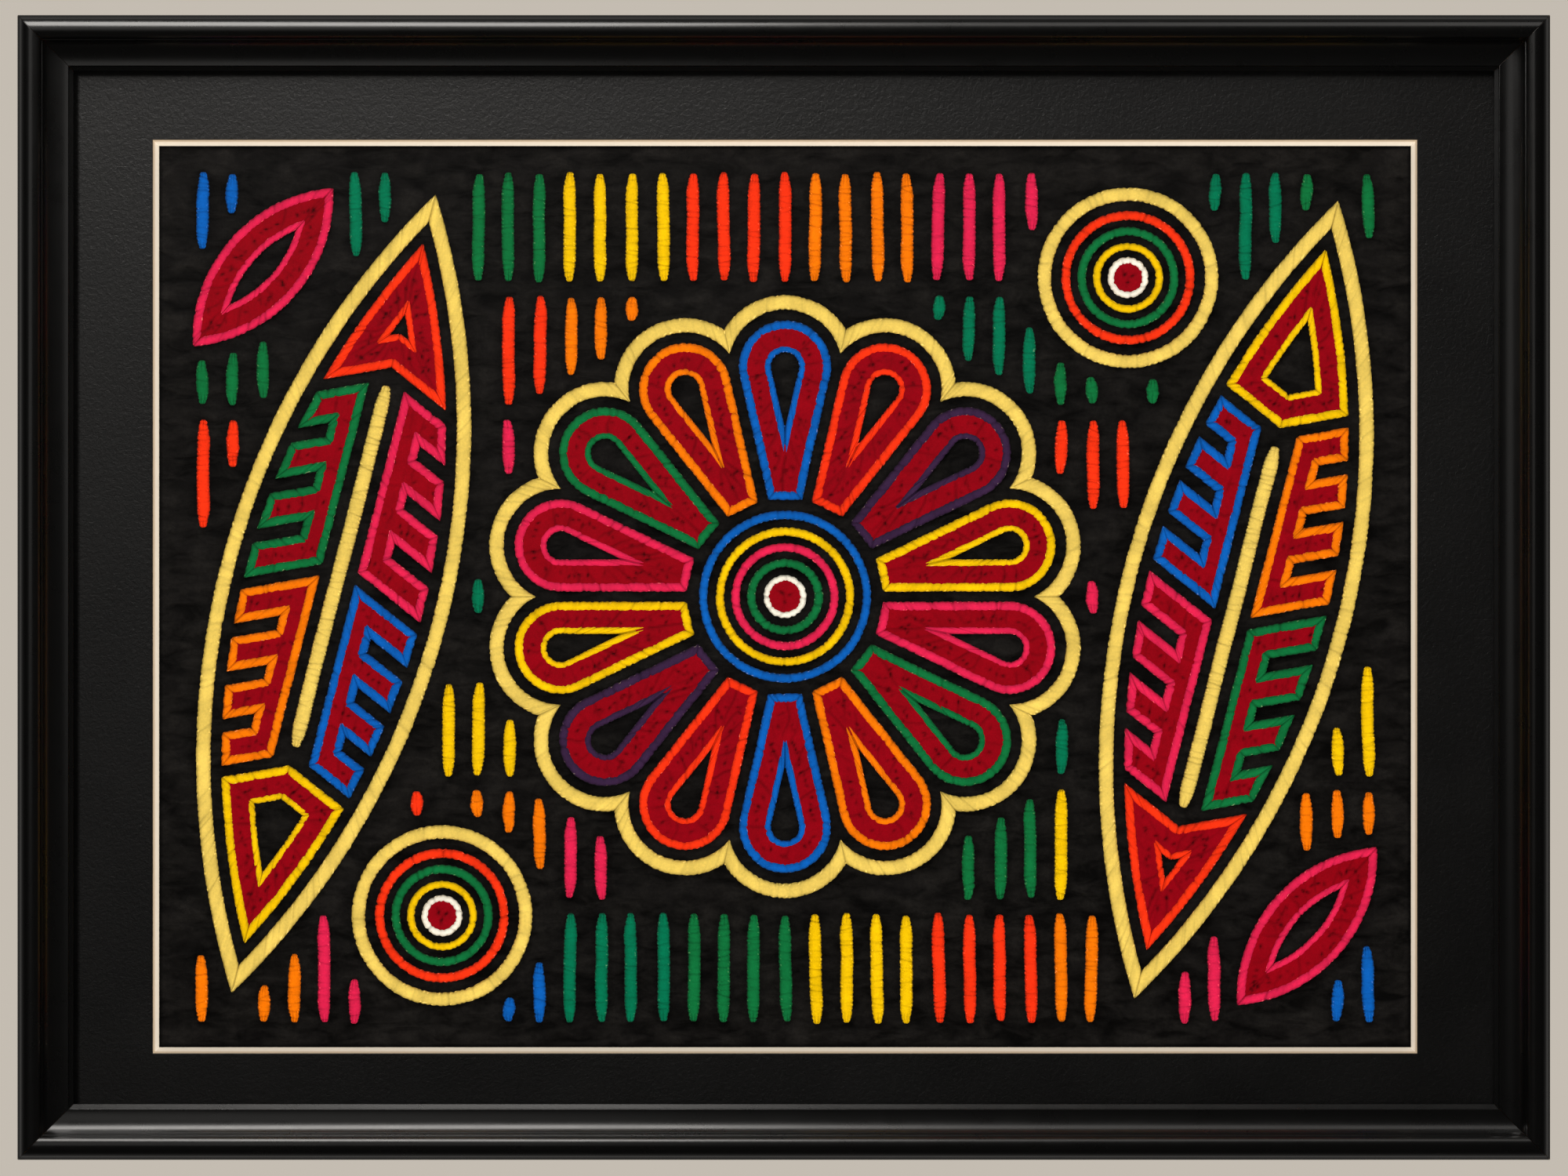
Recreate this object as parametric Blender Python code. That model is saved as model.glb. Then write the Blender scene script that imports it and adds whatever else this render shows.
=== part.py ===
"""Cloth panel in reverse applique, held behind a window mat in a black moulded frame.

Lengths are in metres, +Z is up and the front faces -Y. The origin lies on the back face
of the top rail, midway along it, where the frame meets the wall. Points of the frame and
of the cloth's pattern are given as u to the right, v up and a height in front of the wall.
"""
import math

import bmesh
import bpy
from mathutils import Vector

MM = 0.001

# The frame and the mat as they show from the front
FRAME_WIDTH = 508.0 * MM
FRAME_HEIGHT = 379.4 * MM
RAIL_FACE = 18.2 * MM
MAT_LEFT = 26.2 * MM
MAT_RIGHT = 25.4 * MM
MAT_TOP = 22.8 * MM
MAT_BOTTOM = 16.7 * MM
MAT_BEVEL = 2.0 * MM

# The moulding's section
RAIL_DEPTH = 24.0 * MM
RABBET_WIDTH = 6.0 * MM
RABBET_HEIGHT = 10.0 * MM
SHOULDER_HEIGHT = 18.8 * MM
BEAD_START = 0.9 * MM
BEAD_END = 8.1 * MM
BEAD_RISE = 3.7 * MM
QUIRK_END = 8.8 * MM
COVE_END = 16.6 * MM
COVE_FOOT = 14.6 * MM
LIP_START = 16.7 * MM
LIP_TOP = 13.0 * MM
LIP_FRONT = 12.2 * MM
BEAD_STEPS = 8
COVE_STEPS = 6

# The layers in the rabbet, as heights in front of the wall
GAP = 0.3 * MM
BOARD_CLEARANCE = 0.5 * MM
MAT_THICKNESS = 2.4 * MM
CLOTH_THICKNESS = 1.6 * MM
BACKING_THICKNESS = 3.0 * MM
MAT_FRONT = RABBET_HEIGHT - GAP
MAT_BACK = MAT_FRONT - MAT_THICKNESS
CLOTH_FRONT = MAT_BACK - GAP
CLOTH_BACK = CLOTH_FRONT - CLOTH_THICKNESS
BACKING_FRONT = CLOTH_BACK - GAP
BACKING_BACK = BACKING_FRONT - BACKING_THICKNESS
CLOTH_WIDTH = 440.0 * MM
CLOTH_HEIGHT = 325.0 * MM

# The applique's relief on the cloth
PATCH_BASE = CLOTH_FRONT + GAP
FIELD_TOP = PATCH_BASE + 1.0 * MM
BAND_TOP = PATCH_BASE + 1.3 * MM
SHOULDER = 0.5 * MM
SLIT_RELIEF = 0.5 * MM
PALE_BAND = 5.2 * MM
OUTER_BAND = 3.4 * MM
INNER_BAND = 2.6 * MM
FIELD_WIDTH = 5.0 * MM
COLOUR_GAP = 3.2 * MM

# The flower in the middle
PETALS = 14
PETAL_COLOURS = ("blue", "orange", "green", "pink", "yellow", "plum", "vermilion")
PETAL_GAP = 3.0 * MM
PETAL_FOOT = 32.0 * MM
PETAL_REACH = 92.0 * MM
PETAL_ARC_POINTS = 7
NARROWEST_FOOT = 1.2 * MM
LOBE_POINTS = 6

# Each ring's colour, outer radius and width, and the round eye in the middle
FLOWER_RINGS = (
    ("blue", 28.8 * MM, 3.2 * MM),
    ("yellow", 23.2 * MM, 3.2 * MM),
    ("pink", 18.0 * MM, 3.2 * MM),
    ("green", 12.8 * MM, 3.2 * MM),
)
FLOWER_EYE = 7.4 * MM
EYE_BAND = 2.6 * MM
RING_POINTS = 32

# The two large leaves, each with two combs a side and a patch in each tip
LEAF_FOOT = (116.0 * MM, -134.0 * MM)
LEAF_TIP = (184.0 * MM, 132.0 * MM)
LEAF_HALF_WIDTH = 39.0 * MM
LEAF_POINTS = 13
COMB_COLOURS = (("green", "pink"), ("orange", "blue"))
COMB_STARTS = (66.0 * MM, 132.2 * MM)
COMB_TEETH = 4
TOOTH = 12.4 * MM
SLOT = 4.4 * MM
SPINE = 10.0 * MM
SLANT = 0.45
TIP_COLOURS = ("vermilion", "yellow")
TIP_POINTS = 5

# The small leaves and the small round flowers in the corners, with their rings as above
SMALL_LEAF_FOOT = (150.0 * MM, -136.0 * MM)
SMALL_LEAF_TIP = (197.0 * MM, -83.0 * MM)
SMALL_LEAF_HALF_WIDTH = 14.5 * MM
SMALL_FLOWER = (114.0 * MM, 106.0 * MM)
SMALL_RINGS = (
    ("pale yellow", 30.2 * MM, 4.8 * MM),
    ("vermilion", 22.4 * MM, 3.4 * MM),
    ("green", 17.0 * MM, 3.2 * MM),
    ("yellow", 11.8 * MM, 2.8 * MM),
)
SMALL_EYE = 7.0 * MM
SMALL_RING_POINTS = 24
EYE_POINTS = 16

# The rows of short slits that fill the ground
SLIT_MARGIN_U = 6.5 * MM
SLIT_MARGIN_V = 6.0 * MM
SLIT_ROWS = 7
SLIT_PITCH = 10.2 * MM
SLIT_WIDTH = 5.0 * MM
SLIT_POINT = 3.0 * MM
SLIT_SHORTEST = 8.0 * MM
SLIT_ROW_GAP = 4.4 * MM
SLIT_STEP = 1.0 * MM
SLIT_CLEARANCE = 3.4 * MM

WINDOW_CENTRE = ((MAT_LEFT - MAT_RIGHT) / 2, (MAT_BOTTOM - MAT_TOP) / 2)
WINDOW_WIDTH = FRAME_WIDTH - 2 * RAIL_FACE - MAT_LEFT - MAT_RIGHT - 2 * MAT_BEVEL
WINDOW_HEIGHT = FRAME_HEIGHT - 2 * RAIL_FACE - MAT_TOP - MAT_BOTTOM - 2 * MAT_BEVEL
FRAME_CENTRE_Z = (RAIL_FACE - RABBET_WIDTH) / 2 - FRAME_HEIGHT / 2

COLOURS = {
    "black lacquer": "101010",
    "black paper": "232323",
    "grey board": "8C8478",
    "black cotton": "141412",
    "pale yellow": "E8D06E",
    "blue": "0F66D0",
    "orange": "FF8E05",
    "green": "0F8444",
    "pink": "E0285C",
    "yellow": "FBCB05",
    "plum": "4A2A5C",
    "vermilion": "FB3F17",
    "white": "F0ECE0",
}
ROUGHNESS = {"black lacquer": 0.3, "black paper": 0.9, "grey board": 0.9}


def clear_scene():
    for thing in list(bpy.data.objects):
        bpy.data.objects.remove(thing, do_unlink=True)


def linear(channel):
    return channel / 12.92 if channel <= 0.04045 else ((channel + 0.055) / 1.055) ** 2.4


def finish(colour_name):
    """The material of this colour, made at its first use."""
    material = bpy.data.materials.get(colour_name)
    if material is None:
        code = COLOURS[colour_name]
        rgb = [linear(int(code[i:i + 2], 16) / 255) for i in (0, 2, 4)]
        material = bpy.data.materials.new(colour_name)
        material.use_nodes = True
        shader = material.node_tree.nodes["Principled BSDF"]
        shader.inputs["Base Color"].default_value = (*rgb, 1.0)
        shader.inputs["Roughness"].default_value = ROUGHNESS.get(colour_name, 0.85)
        shader.inputs["Metallic"].default_value = 0.0
    return material


def world(point, height):
    """A point of the frame's face, at its height in front of the wall."""
    return Vector((point[0], -height, point[1] + FRAME_CENTRE_Z))


def bridge(bm, rows, is_ring=False):
    """Close a surface from row to row of points, back to the first row or with flat ends."""
    corners = [[bm.verts.new(spot) for spot in row] for row in rows]
    pairs = list(zip(corners, corners[1:]))
    if is_ring:
        pairs.append((corners[-1], corners[0]))
    else:
        bm.faces.new(corners[0])
        bm.faces.new(corners[-1])
    for low, high in pairs:
        for i in range(len(low)):
            j = (i + 1) % len(low)
            bm.faces.new((low[i], low[j], high[j], high[i]))


def add_object(name, bm):
    bmesh.ops.recalc_face_normals(bm, faces=bm.faces)
    mesh = bpy.data.meshes.new(name)
    bm.to_mesh(mesh)
    bm.free()
    thing = bpy.data.objects.new(name, mesh)
    bpy.context.collection.objects.link(thing)
    return thing


def body(name, loops, colour_name, is_ring=False):
    """One solid, bridged from loop to loop; loops are pairs of points and height."""
    bm = bmesh.new()
    bridge(bm, [[world(point, height) for point in points] for points, height in loops], is_ring)
    thing = add_object(name, bm)
    thing.data.materials.append(finish(colour_name))
    return thing


def rectangle(width, height, centre=(0.0, 0.0)):
    u, v = centre
    return [(u - width / 2, v - height / 2), (u + width / 2, v - height / 2),
            (u + width / 2, v + height / 2), (u - width / 2, v + height / 2)]


def moulding_profile():
    """The rail's section, as pairs of distance from the outer edge and height."""
    back_width = RAIL_FACE - RABBET_WIDTH
    profile = [(0.0, 0.0), (0.0, SHOULDER_HEIGHT)]
    bead_half = (BEAD_END - BEAD_START) / 2
    quirk_height = RAIL_DEPTH - BEAD_RISE
    for i in range(BEAD_STEPS + 1):
        turn = math.pi * i / BEAD_STEPS
        profile.append((BEAD_START + bead_half * (1 - math.cos(turn)),
                        quirk_height + BEAD_RISE * math.sin(turn)))
    for i in range(COVE_STEPS + 1):
        turn = math.pi / 2 * i / COVE_STEPS
        profile.append((COVE_END - (COVE_END - QUIRK_END) * math.cos(turn),
                        quirk_height - (quirk_height - COVE_FOOT) * math.sin(turn)))
    profile.append((LIP_START, LIP_TOP))
    profile.append((RAIL_FACE, LIP_FRONT))
    profile.append((RAIL_FACE, RABBET_HEIGHT))
    profile.append((back_width, RABBET_HEIGHT))
    profile.append((back_width, 0.0))
    return profile


def make_rail(name, side, upright):
    """A rail with mitred ends, along u or, if upright, along v, on the side of that sign."""
    length, across = (FRAME_HEIGHT, FRAME_WIDTH) if upright else (FRAME_WIDTH, FRAME_HEIGHT)
    mitre_gap = GAP / math.sqrt(2)
    rows = []
    for end in (-1, 1):
        row = []
        for inward, height in moulding_profile():
            along = end * (length / 2 - inward - mitre_gap)
            sideways = side * (across / 2 - inward)
            row.append(world((sideways, along) if upright else (along, sideways), height))
        rows.append(row)
    bm = bmesh.new()
    bridge(bm, rows)
    add_object(name, bm).data.materials.append(finish("black lacquer"))


def make_frame():
    make_rail("rail_top", 1, upright=False)
    make_rail("rail_bottom", -1, upright=False)
    make_rail("rail_left", -1, upright=True)
    make_rail("rail_right", 1, upright=True)


def make_boards():
    """The window mat with its bevelled opening, and the plain board behind the cloth."""
    width = FRAME_WIDTH - 2 * (RAIL_FACE - RABBET_WIDTH + BOARD_CLEARANCE)
    height = FRAME_HEIGHT - 2 * (RAIL_FACE - RABBET_WIDTH + BOARD_CLEARANCE)
    outer = rectangle(width, height)
    front = rectangle(WINDOW_WIDTH + 2 * MAT_BEVEL, WINDOW_HEIGHT + 2 * MAT_BEVEL, WINDOW_CENTRE)
    back = rectangle(WINDOW_WIDTH, WINDOW_HEIGHT, WINDOW_CENTRE)
    loops = [(outer, MAT_BACK), (outer, MAT_FRONT), (front, MAT_FRONT), (back, MAT_BACK)]
    body("mat_board", loops, "black paper", is_ring=True)
    body("backing_board", [(outer, BACKING_BACK), (outer, BACKING_FRONT)], "grey board")


def placed(points, angle=0.0, at=(0.0, 0.0)):
    """Points of the pattern turned about the window's middle, after a shift."""
    c, s = math.cos(angle), math.sin(angle)
    shifted = [(u + at[0], v + at[1]) for u, v in points]
    return [(WINDOW_CENTRE[0] + u * c - v * s, WINDOW_CENTRE[1] + u * s + v * c) for u, v in shifted]


def band(name, outline, width, colour_name, angle=0.0, at=(0.0, 0.0)):
    """A raised strip of cloth along an outline; outline(d) is the outline drawn in by d."""
    steps = [(0.0, PATCH_BASE), (SHOULDER, BAND_TOP), (width - SHOULDER, BAND_TOP), (width, PATCH_BASE)]
    body(name, [(placed(outline(d), angle, at), h) for d, h in steps], colour_name, is_ring=True)


def bordered_patch(name, outline, colour_name, angle=0.0):
    """A patch with a raised edge outside, a flat field and a raised edge round a slot."""
    field_end = OUTER_BAND + FIELD_WIDTH
    slot = field_end + INNER_BAND
    steps = [(0.0, PATCH_BASE), (SHOULDER, BAND_TOP), (OUTER_BAND - SHOULDER, BAND_TOP),
             (OUTER_BAND, FIELD_TOP), (field_end, FIELD_TOP), (field_end + SHOULDER, BAND_TOP),
             (slot - SHOULDER, BAND_TOP), (slot, PATCH_BASE)]
    body(name, [(placed(outline(d), angle), h) for d, h in steps], colour_name, is_ring=True)


def filled_patch(name, outline, edge, colour_name, angle=0.0, at=(0.0, 0.0)):
    """A patch with a raised edge round a flat field."""
    steps = [(0.0, PATCH_BASE), (SHOULDER, BAND_TOP), (edge - SHOULDER, BAND_TOP), (edge, FIELD_TOP)]
    body(name, [(placed(outline(d), angle, at), h) for d, h in steps], colour_name)


def drawn_in(points, distance):
    """A counter-clockwise outline moved inwards by a distance, with mitred corners."""
    corners = [Vector(point) for point in points]
    count = len(corners)
    normals = []
    for i in range(count):
        edge = (corners[(i + 1) % count] - corners[i]).normalized()
        normals.append(Vector((-edge.y, edge.x)))
    moved = []
    for i in range(count):
        before, after = normals[i - 1], normals[i]
        corner = corners[i] + (before + after) * (distance / (1 + before.dot(after)))
        moved.append((corner.x, corner.y))
    return moved


def circle(radius, count):
    """The outline of a round band, as a function of the distance drawn in."""
    def outline(distance):
        turns = [2 * math.pi * i / count for i in range(count)]
        return [((radius - distance) * math.cos(t), (radius - distance) * math.sin(t)) for t in turns]
    return outline


PETAL_HALF_ANGLE = math.pi / PETALS
PETAL_CENTRE = (PETAL_REACH + PETAL_GAP / 2) / (1 + math.sin(PETAL_HALF_ANGLE))


def petal_outline(distance):
    """A wedge along +u whose far end is round, drawn in by a distance."""
    radius = PETAL_REACH - PETAL_CENTRE - distance
    wedge_tip = (PETAL_GAP / 2 + distance) / math.sin(PETAL_HALF_ANGLE)
    foot = max(PETAL_FOOT + distance, wedge_tip + NARROWEST_FOOT)
    half_foot = (foot - wedge_tip) * math.tan(PETAL_HALF_ANGLE)
    end = math.pi / 2 + PETAL_HALF_ANGLE
    turns = [end * (2 * i / (PETAL_ARC_POINTS - 1) - 1) for i in range(PETAL_ARC_POINTS)]
    arc = [(PETAL_CENTRE + radius * math.cos(t), radius * math.sin(t)) for t in turns]
    return [(foot, -half_foot)] + arc + [(foot, half_foot)]


def scalloped_outline(distance):
    """One lobe round each petal's end, the whole drawn in by a distance."""
    radius = PETAL_REACH - PETAL_CENTRE + COLOUR_GAP + PALE_BAND - distance
    off_axis = PETAL_CENTRE * math.sin(PETAL_HALF_ANGLE)
    valley = PETAL_CENTRE * math.cos(PETAL_HALF_ANGLE) + math.sqrt(radius ** 2 - off_axis ** 2)
    end = math.atan2(valley * math.sin(PETAL_HALF_ANGLE),
                     valley * math.cos(PETAL_HALF_ANGLE) - PETAL_CENTRE)
    points = []
    for k in range(PETALS):
        turn = math.pi / 2 + 2 * PETAL_HALF_ANGLE * k
        for i in range(LOBE_POINTS):
            t = end * (2 * i / LOBE_POINTS - 1)
            u = PETAL_CENTRE + radius * math.cos(t)
            v = radius * math.sin(t)
            points.append((u * math.cos(turn) - v * math.sin(turn), u * math.sin(turn) + v * math.cos(turn)))
    return points


def make_flower():
    band("flower_outline", scalloped_outline, PALE_BAND, "pale yellow")
    for k in range(PETALS):
        colour = PETAL_COLOURS[k % len(PETAL_COLOURS)]
        bordered_patch(f"petal_{k + 1:02d}", petal_outline, colour, math.pi / 2 + 2 * PETAL_HALF_ANGLE * k)
    for colour, radius, width in FLOWER_RINGS:
        band(f"ring_{colour}", circle(radius, RING_POINTS), width, colour)
    filled_patch("flower_eye", circle(FLOWER_EYE, EYE_POINTS), EYE_BAND, "white")


class Leaf:
    """A pointed oval between two equal arcs; p runs along it from the foot, q across it."""

    def __init__(self, foot, tip, half_width):
        self.foot = Vector(foot)
        reach = Vector(tip) - self.foot
        self.length = reach.length
        self.along = reach.normalized()
        self.across = Vector((-self.along.y, self.along.x))
        self.radius = ((self.length / 2) ** 2 + half_width ** 2) / (2 * half_width)
        self.centre_q = half_width - self.radius

    def point(self, p, q):
        spot = self.foot + self.along * p + self.across * q
        return (spot.x, spot.y)

    def tip_at(self, distance, sign):
        """Where the edges meet after they are drawn in, at the foot (-1) or the tip (1)."""
        return self.length / 2 + sign * math.sqrt((self.radius - distance) ** 2 - self.centre_q ** 2)

    def half_width(self, p, distance):
        return math.sqrt((self.radius - distance) ** 2 - (p - self.length / 2) ** 2) + self.centre_q

    def slanted_reach(self, p, q, distance):
        """How far q can grow from (p, q), along the slant, up to the edge drawn in."""
        du = p - self.length / 2
        dv = q - self.centre_q
        a = SLANT ** 2 + 1
        b = SLANT * du + dv
        c = du ** 2 + dv ** 2 - (self.radius - distance) ** 2
        return (math.sqrt(b ** 2 - a * c) - b) / a

    def outline(self, distance):
        first, last = self.tip_at(distance, -1), self.tip_at(distance, 1)
        middle, half = (first + last) / 2, (last - first) / 2
        steps = [middle - half * math.cos(math.pi * i / (LEAF_POINTS - 1)) for i in range(LEAF_POINTS)]
        right = [(p, -max(self.half_width(p, distance), 0.0)) for p in steps[:-1]]
        left = [(p, max(self.half_width(p, distance), 0.0)) for p in reversed(steps[1:])]
        return [self.point(p, q) for p, q in right + left]

    def tip_patch(self, sign):
        """The outline that fills the foot (-1) or the tip (1), cut off along the combs' slant."""
        border = PALE_BAND + COLOUR_GAP
        slope = math.sqrt(1 + SLANT ** 2)
        if sign < 0:
            cut = COMB_STARTS[0] - SLANT * comb_root() - COLOUR_GAP * slope
        else:
            cut = COMB_STARTS[1] + comb_length() - SLANT * comb_root() + COLOUR_GAP * slope

        def outline(distance):
            inner = border + distance
            start = cut + sign * distance * slope
            reach = self.slanted_reach(start, 0.0, inner)
            corner = start + SLANT * reach
            end = self.tip_at(inner, sign)
            steps = [corner + (end - corner) * math.sin(math.pi / 2 * i / TIP_POINTS)
                     for i in range(TIP_POINTS + 1)]
            side = [(p, max(self.half_width(p, inner), 0.0)) for p in steps]
            points = [(start, 0.0)] + [(p, -q) for p, q in side] + [(p, q) for p, q in reversed(side[:-1])]
            return [self.point(p, q) for p, q in (points if sign > 0 else reversed(points))]
        return outline

    def comb(self, start, side):
        """A spine beside the rib, with slanted teeth that reach to the leaf's edge."""
        root = comb_root()
        border = PALE_BAND + COLOUR_GAP
        points = [(start, root)]
        for tooth in range(COMB_TEETH):
            low = start + tooth * (TOOTH + SLOT)
            high = low + TOOTH
            low_reach = self.slanted_reach(low, root, border)
            high_reach = self.slanted_reach(high, root, border)
            if tooth > 0:
                points.append((low + SLANT * SPINE, root + SPINE))
            points.append((low + SLANT * low_reach, root + low_reach))
            points.append((high + SLANT * high_reach, root + high_reach))
            if tooth < COMB_TEETH - 1:
                points.append((high + SLANT * SPINE, root + SPINE))
        points.append((start + comb_length(), root))
        turned = [self.point(p, q * side) for p, q in points]
        return turned if side < 0 else turned[::-1]


def comb_root():
    """The distance from the leaf's axis to the combs' straight side."""
    return PALE_BAND / 2 + COLOUR_GAP


def comb_length():
    return COMB_TEETH * (TOOTH + SLOT) - SLOT


def make_leaves():
    leaf = Leaf(LEAF_FOOT, LEAF_TIP, LEAF_HALF_WIDTH)
    small = Leaf(SMALL_LEAF_FOOT, SMALL_LEAF_TIP, SMALL_LEAF_HALF_WIDTH)
    rib_start = COMB_STARTS[0]
    rib_end = COMB_STARTS[1] + comb_length() - 2 * SLANT * comb_root()
    rib = [leaf.point(rib_start, -PALE_BAND / 2), leaf.point(rib_end, -PALE_BAND / 2),
           leaf.point(rib_end, PALE_BAND / 2), leaf.point(rib_start, PALE_BAND / 2)]
    for place, angle in (("right", 0.0), ("left", math.pi)):
        band(f"leaf_{place}_outline", leaf.outline, PALE_BAND, "pale yellow", angle)
        steps = [(0.0, PATCH_BASE), (SHOULDER, BAND_TOP)]
        body(f"leaf_{place}_rib", [(placed(drawn_in(rib, d), angle), h) for d, h in steps], "pale yellow")
        for row, start in enumerate(COMB_STARTS):
            for column, side in enumerate((-1, 1)):
                edge = leaf.comb(start, side)
                filled_patch(f"leaf_{place}_comb_{2 * row + column + 1}", lambda d, e=edge: drawn_in(e, d),
                             OUTER_BAND, COMB_COLOURS[row][column], angle)
        for colour, sign, end in zip(TIP_COLOURS, (-1, 1), ("foot", "tip")):
            bordered_patch(f"leaf_{place}_{end}", leaf.tip_patch(sign), colour, angle)
        bordered_patch(f"small_leaf_{place}", small.outline, "pink", angle)


def make_small_flowers():
    for place, angle in (("right", 0.0), ("left", math.pi)):
        for colour, radius, width in SMALL_RINGS:
            name = f"small_flower_{place}_{colour.replace(' ', '_')}"
            band(name, circle(radius, SMALL_RING_POINTS), width, colour, angle, SMALL_FLOWER)
        eye = circle(SMALL_EYE, EYE_POINTS)
        filled_patch(f"small_flower_{place}_eye", eye, EYE_BAND, "white", angle, SMALL_FLOWER)


def ground_is_free(u, v, leaves):
    """Whether this point of the pattern keeps clear of every patch and of the edges."""
    if abs(u) > WINDOW_WIDTH / 2 - SLIT_MARGIN_U or abs(v) > WINDOW_HEIGHT / 2 - SLIT_MARGIN_V:
        return False
    lobe = PETAL_REACH - PETAL_CENTRE + COLOUR_GAP + PALE_BAND + SLIT_CLEARANCE
    if math.hypot(u, v) < PETAL_REACH:
        return False
    for k in range(PETALS):
        turn = math.pi / 2 + 2 * PETAL_HALF_ANGLE * k
        if math.hypot(u - PETAL_CENTRE * math.cos(turn), v - PETAL_CENTRE * math.sin(turn)) < lobe:
            return False
    for sign in (1, -1):
        spot = Vector((sign * u, sign * v))
        if (spot - Vector(SMALL_FLOWER)).length < SMALL_RINGS[0][1] + SLIT_CLEARANCE:
            return False
        for leaf in leaves:
            p = (spot - leaf.foot).dot(leaf.along) - leaf.length / 2
            q = (spot - leaf.foot).dot(leaf.across)
            if math.hypot(p, abs(q) - leaf.centre_q) < leaf.radius + SLIT_CLEARANCE:
                return False
    return True


def slit_places():
    """The slits, as the u of each and the two ends in v, fitted into the free ground."""
    leaves = (Leaf(LEAF_FOOT, LEAF_TIP, LEAF_HALF_WIDTH),
              Leaf(SMALL_LEAF_FOOT, SMALL_LEAF_TIP, SMALL_LEAF_HALF_WIDTH))
    columns = int((WINDOW_WIDTH / 2 - SLIT_MARGIN_U - SLIT_WIDTH / 2) / SLIT_PITCH)
    row_height = (WINDOW_HEIGHT - 2 * SLIT_MARGIN_V) / SLIT_ROWS
    places = []
    for column in range(-columns, columns + 1):
        u = column * SLIT_PITCH
        for row in range(SLIT_ROWS):
            low = -WINDOW_HEIGHT / 2 + SLIT_MARGIN_V + row * row_height + SLIT_ROW_GAP / 2
            steps = int((row_height - SLIT_ROW_GAP) / SLIT_STEP)
            run = []
            for step in range(steps + 2):
                v = low + step * SLIT_STEP
                sides = (u - SLIT_WIDTH / 2, u, u + SLIT_WIDTH / 2)
                if step <= steps and all(ground_is_free(side, v, leaves) for side in sides):
                    run.append(v)
                    continue
                if run and run[-1] - run[0] >= SLIT_SHORTEST:
                    places.append((u, run[0], run[-1]))
                run = []
    return places


def make_ground():
    """The stretched ground cloth, with each slit's stitched inlay raised on its face."""
    sheet = rectangle(CLOTH_WIDTH, CLOTH_HEIGHT, WINDOW_CENTRE)
    ground = body("ground_cloth", [(sheet, CLOTH_BACK), (sheet, CLOTH_FRONT)], "black cotton")
    inlays = bmesh.new()
    half = SLIT_WIDTH / 2
    for u, low, high in slit_places():
        outline = [(u, low), (u + half, low + SLIT_POINT), (u + half, high - SLIT_POINT),
                   (u, high), (u - half, high - SLIT_POINT), (u - half, low + SLIT_POINT)]
        levels = ((CLOTH_FRONT + CLOTH_BACK) / 2, CLOTH_FRONT + SLIT_RELIEF)
        bridge(inlays, [[world(point, level) for point in placed(outline)] for level in levels])
    helper = add_object("slit_inlays", inlays)
    helper.hide_render = True
    helper.display_type = "WIRE"
    union = ground.modifiers.new("slit inlays", "BOOLEAN")
    union.operation = "UNION"
    union.object = helper


clear_scene()
make_frame()
make_boards()
make_ground()
make_flower()
make_leaves()
make_small_flowers()
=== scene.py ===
import math

import bmesh
import bpy
import numpy as np
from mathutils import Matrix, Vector, kdtree, noise


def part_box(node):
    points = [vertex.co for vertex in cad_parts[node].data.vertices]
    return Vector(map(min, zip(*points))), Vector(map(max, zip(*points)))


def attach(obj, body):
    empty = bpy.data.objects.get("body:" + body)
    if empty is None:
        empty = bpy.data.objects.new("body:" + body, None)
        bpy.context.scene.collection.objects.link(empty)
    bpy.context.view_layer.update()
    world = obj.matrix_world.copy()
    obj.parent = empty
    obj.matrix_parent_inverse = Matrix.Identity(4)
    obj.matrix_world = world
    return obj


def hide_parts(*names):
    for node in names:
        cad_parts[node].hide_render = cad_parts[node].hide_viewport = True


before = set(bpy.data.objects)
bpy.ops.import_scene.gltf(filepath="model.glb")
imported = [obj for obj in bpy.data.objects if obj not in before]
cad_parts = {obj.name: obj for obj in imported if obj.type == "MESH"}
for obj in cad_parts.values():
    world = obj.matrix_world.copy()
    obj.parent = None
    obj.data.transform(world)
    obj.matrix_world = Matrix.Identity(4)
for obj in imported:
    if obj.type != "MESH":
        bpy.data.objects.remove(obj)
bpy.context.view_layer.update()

# The frame is four lengths of one softwood moulding, mitred, glued and pinned at the corners.
# Its shown faces are filled and sprayed with black lacquer, so they are smooth and glossy.
# The rabbet and the back stay sawn wood. Lengths are metres, as u right, v up and height.
MM = 0.001
OUTER_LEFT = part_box("rail_left")[0].x
OUTER_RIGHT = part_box("rail_right")[1].x
OUTER_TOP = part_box("rail_top")[1].z
OUTER_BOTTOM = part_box("rail_bottom")[0].z
FRAME_WIDTH = OUTER_RIGHT - OUTER_LEFT
FRAME_HEIGHT = OUTER_TOP - OUTER_BOTTOM
CENTRE_X = (OUTER_LEFT + OUTER_RIGHT) / 2
CENTRE_Z = (OUTER_TOP + OUTER_BOTTOM) / 2
RAIL_FACE = 18.2 * MM
RAIL_DEPTH = 24.0 * MM
RABBET_WIDTH = 6.0 * MM
RABBET_HEIGHT = 10.0 * MM
SHOULDER_HEIGHT = 18.8 * MM
BEAD_START = 0.9 * MM
BEAD_END = 8.1 * MM
BEAD_RISE = 3.7 * MM
COVE_START = 8.3 * MM
COVE_END = 16.6 * MM
COVE_FOOT = 14.6 * MM
LIP_START = 16.7 * MM
LIP_TOP = 13.0 * MM
LIP_FRONT = 12.2 * MM
MITRE_GAP = 0.05 * MM


def linear_colour(code):
    """Linear RGBA from an sRGB hex value."""
    channels = [int(code[i:i + 2], 16) / 255 for i in (0, 2, 4)]
    return (*[c / 12.92 if c <= 0.04045 else ((c + 0.055) / 1.055) ** 2.4 for c in channels], 1.0)


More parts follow.
